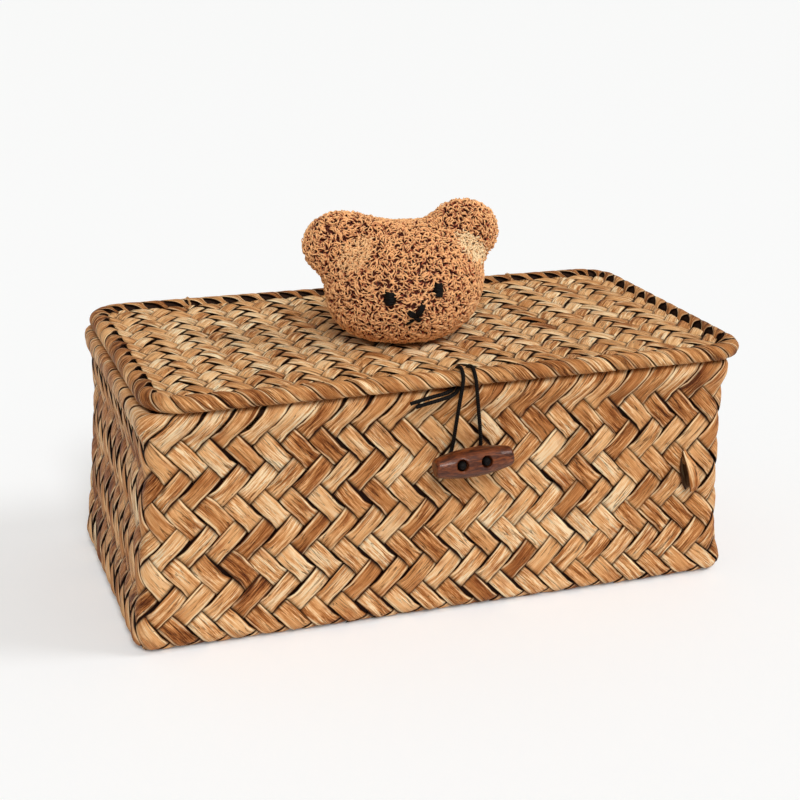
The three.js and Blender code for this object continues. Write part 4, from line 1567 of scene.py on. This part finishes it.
def curls(name, roots, outward, radius, strand, depth, material, slot, seed):
    """One piece of pile: a curl at every root. The lengths are in millimetres."""
    random = np.random.default_rng(seed)
    count = len(roots)
    piece = link_mesh(name, side_by_side(count, curl_sides, curl_rings), material)
    index, angle, along = read_side_by_side(get_points(piece.data), count, curl_sides)
    angle = angle * math.tau

    def each(low, high):
        return random.uniform(low, high, count)[index][:, None]

    normal = outward / np.linalg.norm(outward, axis=1)[:, None]
    turned = random.normal(size=(count, 3))
    first = turned - normal * (turned * normal).sum(axis=1)[:, None]
    first /= np.linalg.norm(first, axis=1)[:, None]
    second = np.cross(normal, first)
    normal, first, second = normal[index], first[index], second[index]
    size = radius * each(*uneven)
    sweep = each(*curl_sweep) * along[:, None]
    drift = each(*curl_drift) * (along[:, None] - 0.3)
    lean = each(*curl_lean)
    start = roots[index] - normal * depth
    centre = start + size * np.sin(sweep) * (normal + lean * second)
    centre += size * (1 - np.cos(sweep)) * first + drift * second
    bulge = np.sin(sweep) * normal - np.cos(sweep) * first
    thick = strand * each(*uneven) * (1 - tip_taper * along[:, None] ** 2.5)
    points = centre + thick * (np.cos(angle)[:, None] * bulge + np.sin(angle)[:, None] * second)
    height = ((points - start) * normal).sum(axis=1)
    set_points(piece.data, points * MM)
    # how high a point stands sets its painted shade at the root and painted highlight at the top
    rise = 0.6 * height / (1.1 * radius + strand) + 0.45 * along
    set_value(piece.data, "rise", np.clip(rise, 0, 1))
    set_value(piece.data, "tone", each(0, 1)[:, 0])
    close_tube(piece.data)
    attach(piece, "lid")
    print(name, count, "curls", triangles(piece), "triangles")
    return piece


curl_radius = 1.55
strand_thick = 0.52
root_depth = 0.95
lining_curl = (1.2, 0.46, 0.7)
ear_start = 163.0
roots, outward = scatter(1.3, 51)
lined = in_lining(roots)
grows = off_face(roots) & (lined < 0)
front_half = roots[:, 1] < head_middle.y
high = roots[:, 2] > ear_start
for name, chosen in (
    ("bear_pile_face", grows & front_half & ~high),
    ("bear_pile_nape", grows & ~front_half & ~high),
    ("bear_pile_ears_front", grows & front_half & high),
    ("bear_pile_ears_back", grows & ~front_half & high),
):
    curls(
        name, roots[chosen], outward[chosen], curl_radius, strand_thick, root_depth, head_plush,
        "plush", 62,
    )
short_roots, short_outward = scatter(0.9, 52)
short_lined = in_lining(short_roots)
for number, side in enumerate(("left", "right")):
    chosen = short_lined == number
    pile = curls(
        f"bear_ear_lining_{side}_pile", short_roots[chosen], short_outward[chosen], *lining_curl,
        (left_lining_plush, right_lining_plush)[number], "ear_lining", 71 + number,
    )
    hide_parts(lining_parts[number])

# %% [markdown]
# ## The stitched face
# Eyes, nose and mouth are satin stitches of black thread. Each stitch is a short tube that comes
# out of the plush, lies on it and goes in again. To find the plush under a stitch, a ray is shot at
# the sewn form from the front.

# %% Stitches
stitch_radius = 0.62
stitch_arc = ((-0.08, -1.2), (0.06, 0.4), (0.3, 1.0), (0.7, 1.0), (0.94, 0.4), (1.08, -1.2))
eye_rows = 8
eye_lift = 1.6


def on_plush(x, z, lift):
    """The point of the sewn form behind (x, z), lifted towards the front."""
    hit, normal, _, _ = form_tree.ray_cast(Vector((x, -150, z)) * MM, Vector((0, 1, 0)))
    return np.array(hit / MM + normal * lift)


def stitch(name, start, end, lift):
    """One stitch between two places on the face, as a tube with sunk ends."""
    start, end = np.array(start), np.array(end)
    points = []
    for share, height in stitch_arc:
        x, z = start + (end - start) * share
        points.append(on_plush(x, z, lift * height if height > 0 else height))
    return tube_piece(name, smooth_route(points, 0.4), stitch_radius, 8, knot_thread)


def sewn(name, stitches, replaced):
    """Joins stitches into one piece that stands for a packed one."""
    bm = bmesh.new()
    for piece in stitches:
        bm.from_mesh(piece.data)
        bpy.data.objects.remove(piece)
    joined = link_mesh(name, bm, knot_thread)
    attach(joined, "lid")
    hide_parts(replaced)
    return joined


def stitched_eye(side, seed):
    """Level stitches, one over the other, in the eye's packed outline."""
    random = np.random.default_rng(seed)
    low, high = (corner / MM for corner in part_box(f"bear_eye_{side}"))
    middle = (low + high) / 2
    half_wide, half_high = (high.x - low.x) / 2 * 0.84, (high.z - low.z) / 2 * 0.92
    stitches = []
    for row in range(eye_rows):
        share = -0.86 + 1.72 * row / (eye_rows - 1)
        reach = half_wide * (0.6 + 0.45 * math.sqrt(1 - share ** 2)) + random.uniform(-0.4, 0.5)
        tilt = random.uniform(-0.35, 0.35)
        z = middle.z + share * half_high
        stitches.append(stitch(
            f"eye_{side}_{row}", (middle.x - reach, z - tilt), (middle.x + reach, z + tilt), eye_lift,
        ))
    return sewn(f"bear_eye_{side}_stitches", stitches, f"bear_eye_{side}")


stitched_eye("left", 91)
stitched_eye("right", 92)


def stitched_strokes(name, strokes, spread, lift):
    """Bundles of stitches. Each stroke has its two ends (x, z) and its number of stitches."""
    stitches = []
    for number, (start, end, rows) in enumerate(strokes):
        start, end = np.array(start), np.array(end)
        across = np.array([start[1] - end[1], end[0] - start[0]]) / np.linalg.norm(end - start)
        for row in range(rows):
            shift = across * (row - (rows - 1) / 2) * spread
            stitches.append(stitch(f"{name}_{number}_{row}", start + shift, end + shift, lift))
    return sewn(f"{name}_stitches", stitches, name)


stitched_strokes("bear_nose", [
    ((-13.1, 146.0), (-9.3, 143.9), 3), ((-10.0, 143.7), (-6.7, 149.2), 3),
], 0.78, 1.7)
stitched_strokes("bear_mouth", [
    ((-9.7, 143.0), (-13.7, 139.5), 1), ((-9.6, 143.0), (-7.2, 141.4), 2),
], 0.8, 1.1)
print("stitched face")

# %% [markdown]
# ## Floor and light
# The box stands on a plain pale floor under soft light. A broad sun above the camera gives the
# front its even light, a weaker one from the upper right models the strips' relief, and the world
# fills the shadows. Its light on the box is warm and dim, as from a room, but the camera sees it
# white. Suns light the whole floor alike, however far it runs. The floor adds a little light of its
# own for camera rays only, so that it looks nearly white while the object still casts its shadow on
# it.

# %% Stage
floor_size = 14.0
floor_glow = 0.13
fill_power = 0.4
fill_colour = (1.0, 0.93, 0.84, 1)
white = (1, 1, 1, 1)


def pale_floor():
    """White floor that keeps the object's shadow."""
    net = material_net("pale_floor")
    rays = net.add("ShaderNodeLightPath").outputs
    return net.finish(
        Base_Color=(0.84, 0.87, 0.9, 1), Roughness=0.9, Emission_Color=white,
        Emission_Strength=net.times(rays["Is Camera Ray"], floor_glow),
    )


def fill_world():
    """Warm dim light from all round, which the camera sees as white."""
    net = Nodes(bpy.data.worlds.new("studio"))
    rays = net.add("ShaderNodeLightPath").outputs
    seen = net.math("MAXIMUM", rays["Is Camera Ray"], rays["Is Transmission Ray"])
    power = net.band(seen, 0.0, 1.0, fill_power, 1.0)
    return net.finish(Color=net.blend(seen, fill_colour, white), Strength=power)


bm = bmesh.new()
bmesh.ops.create_grid(bm, x_segments=1, y_segments=1, size=floor_size / 2)
floor = link_mesh("floor", bm, pale_floor(), smooth=False)
bpy.context.scene.world = fill_world()


def soft_sun(name, place, softness, power):
    """A broad distant lamp that shines from a place towards the object."""
    data = bpy.data.lights.new(name, "SUN")
    data.angle = math.radians(softness)
    data.energy = power
    lamp = bpy.data.objects.new(name, data)
    bpy.context.scene.collection.objects.link(lamp)
    lamp.rotation_euler = Vector(place).to_track_quat("Z", "Y").to_euler()


soft_sun("front_sun", (-0.15, -1.0, 0.95), 22, 1.9)
soft_sun("side_sun", (1.0, -0.35, 0.9), 20, 0.85)
bpy.context.scene.view_settings.view_transform = "Standard"
print("stage ready")
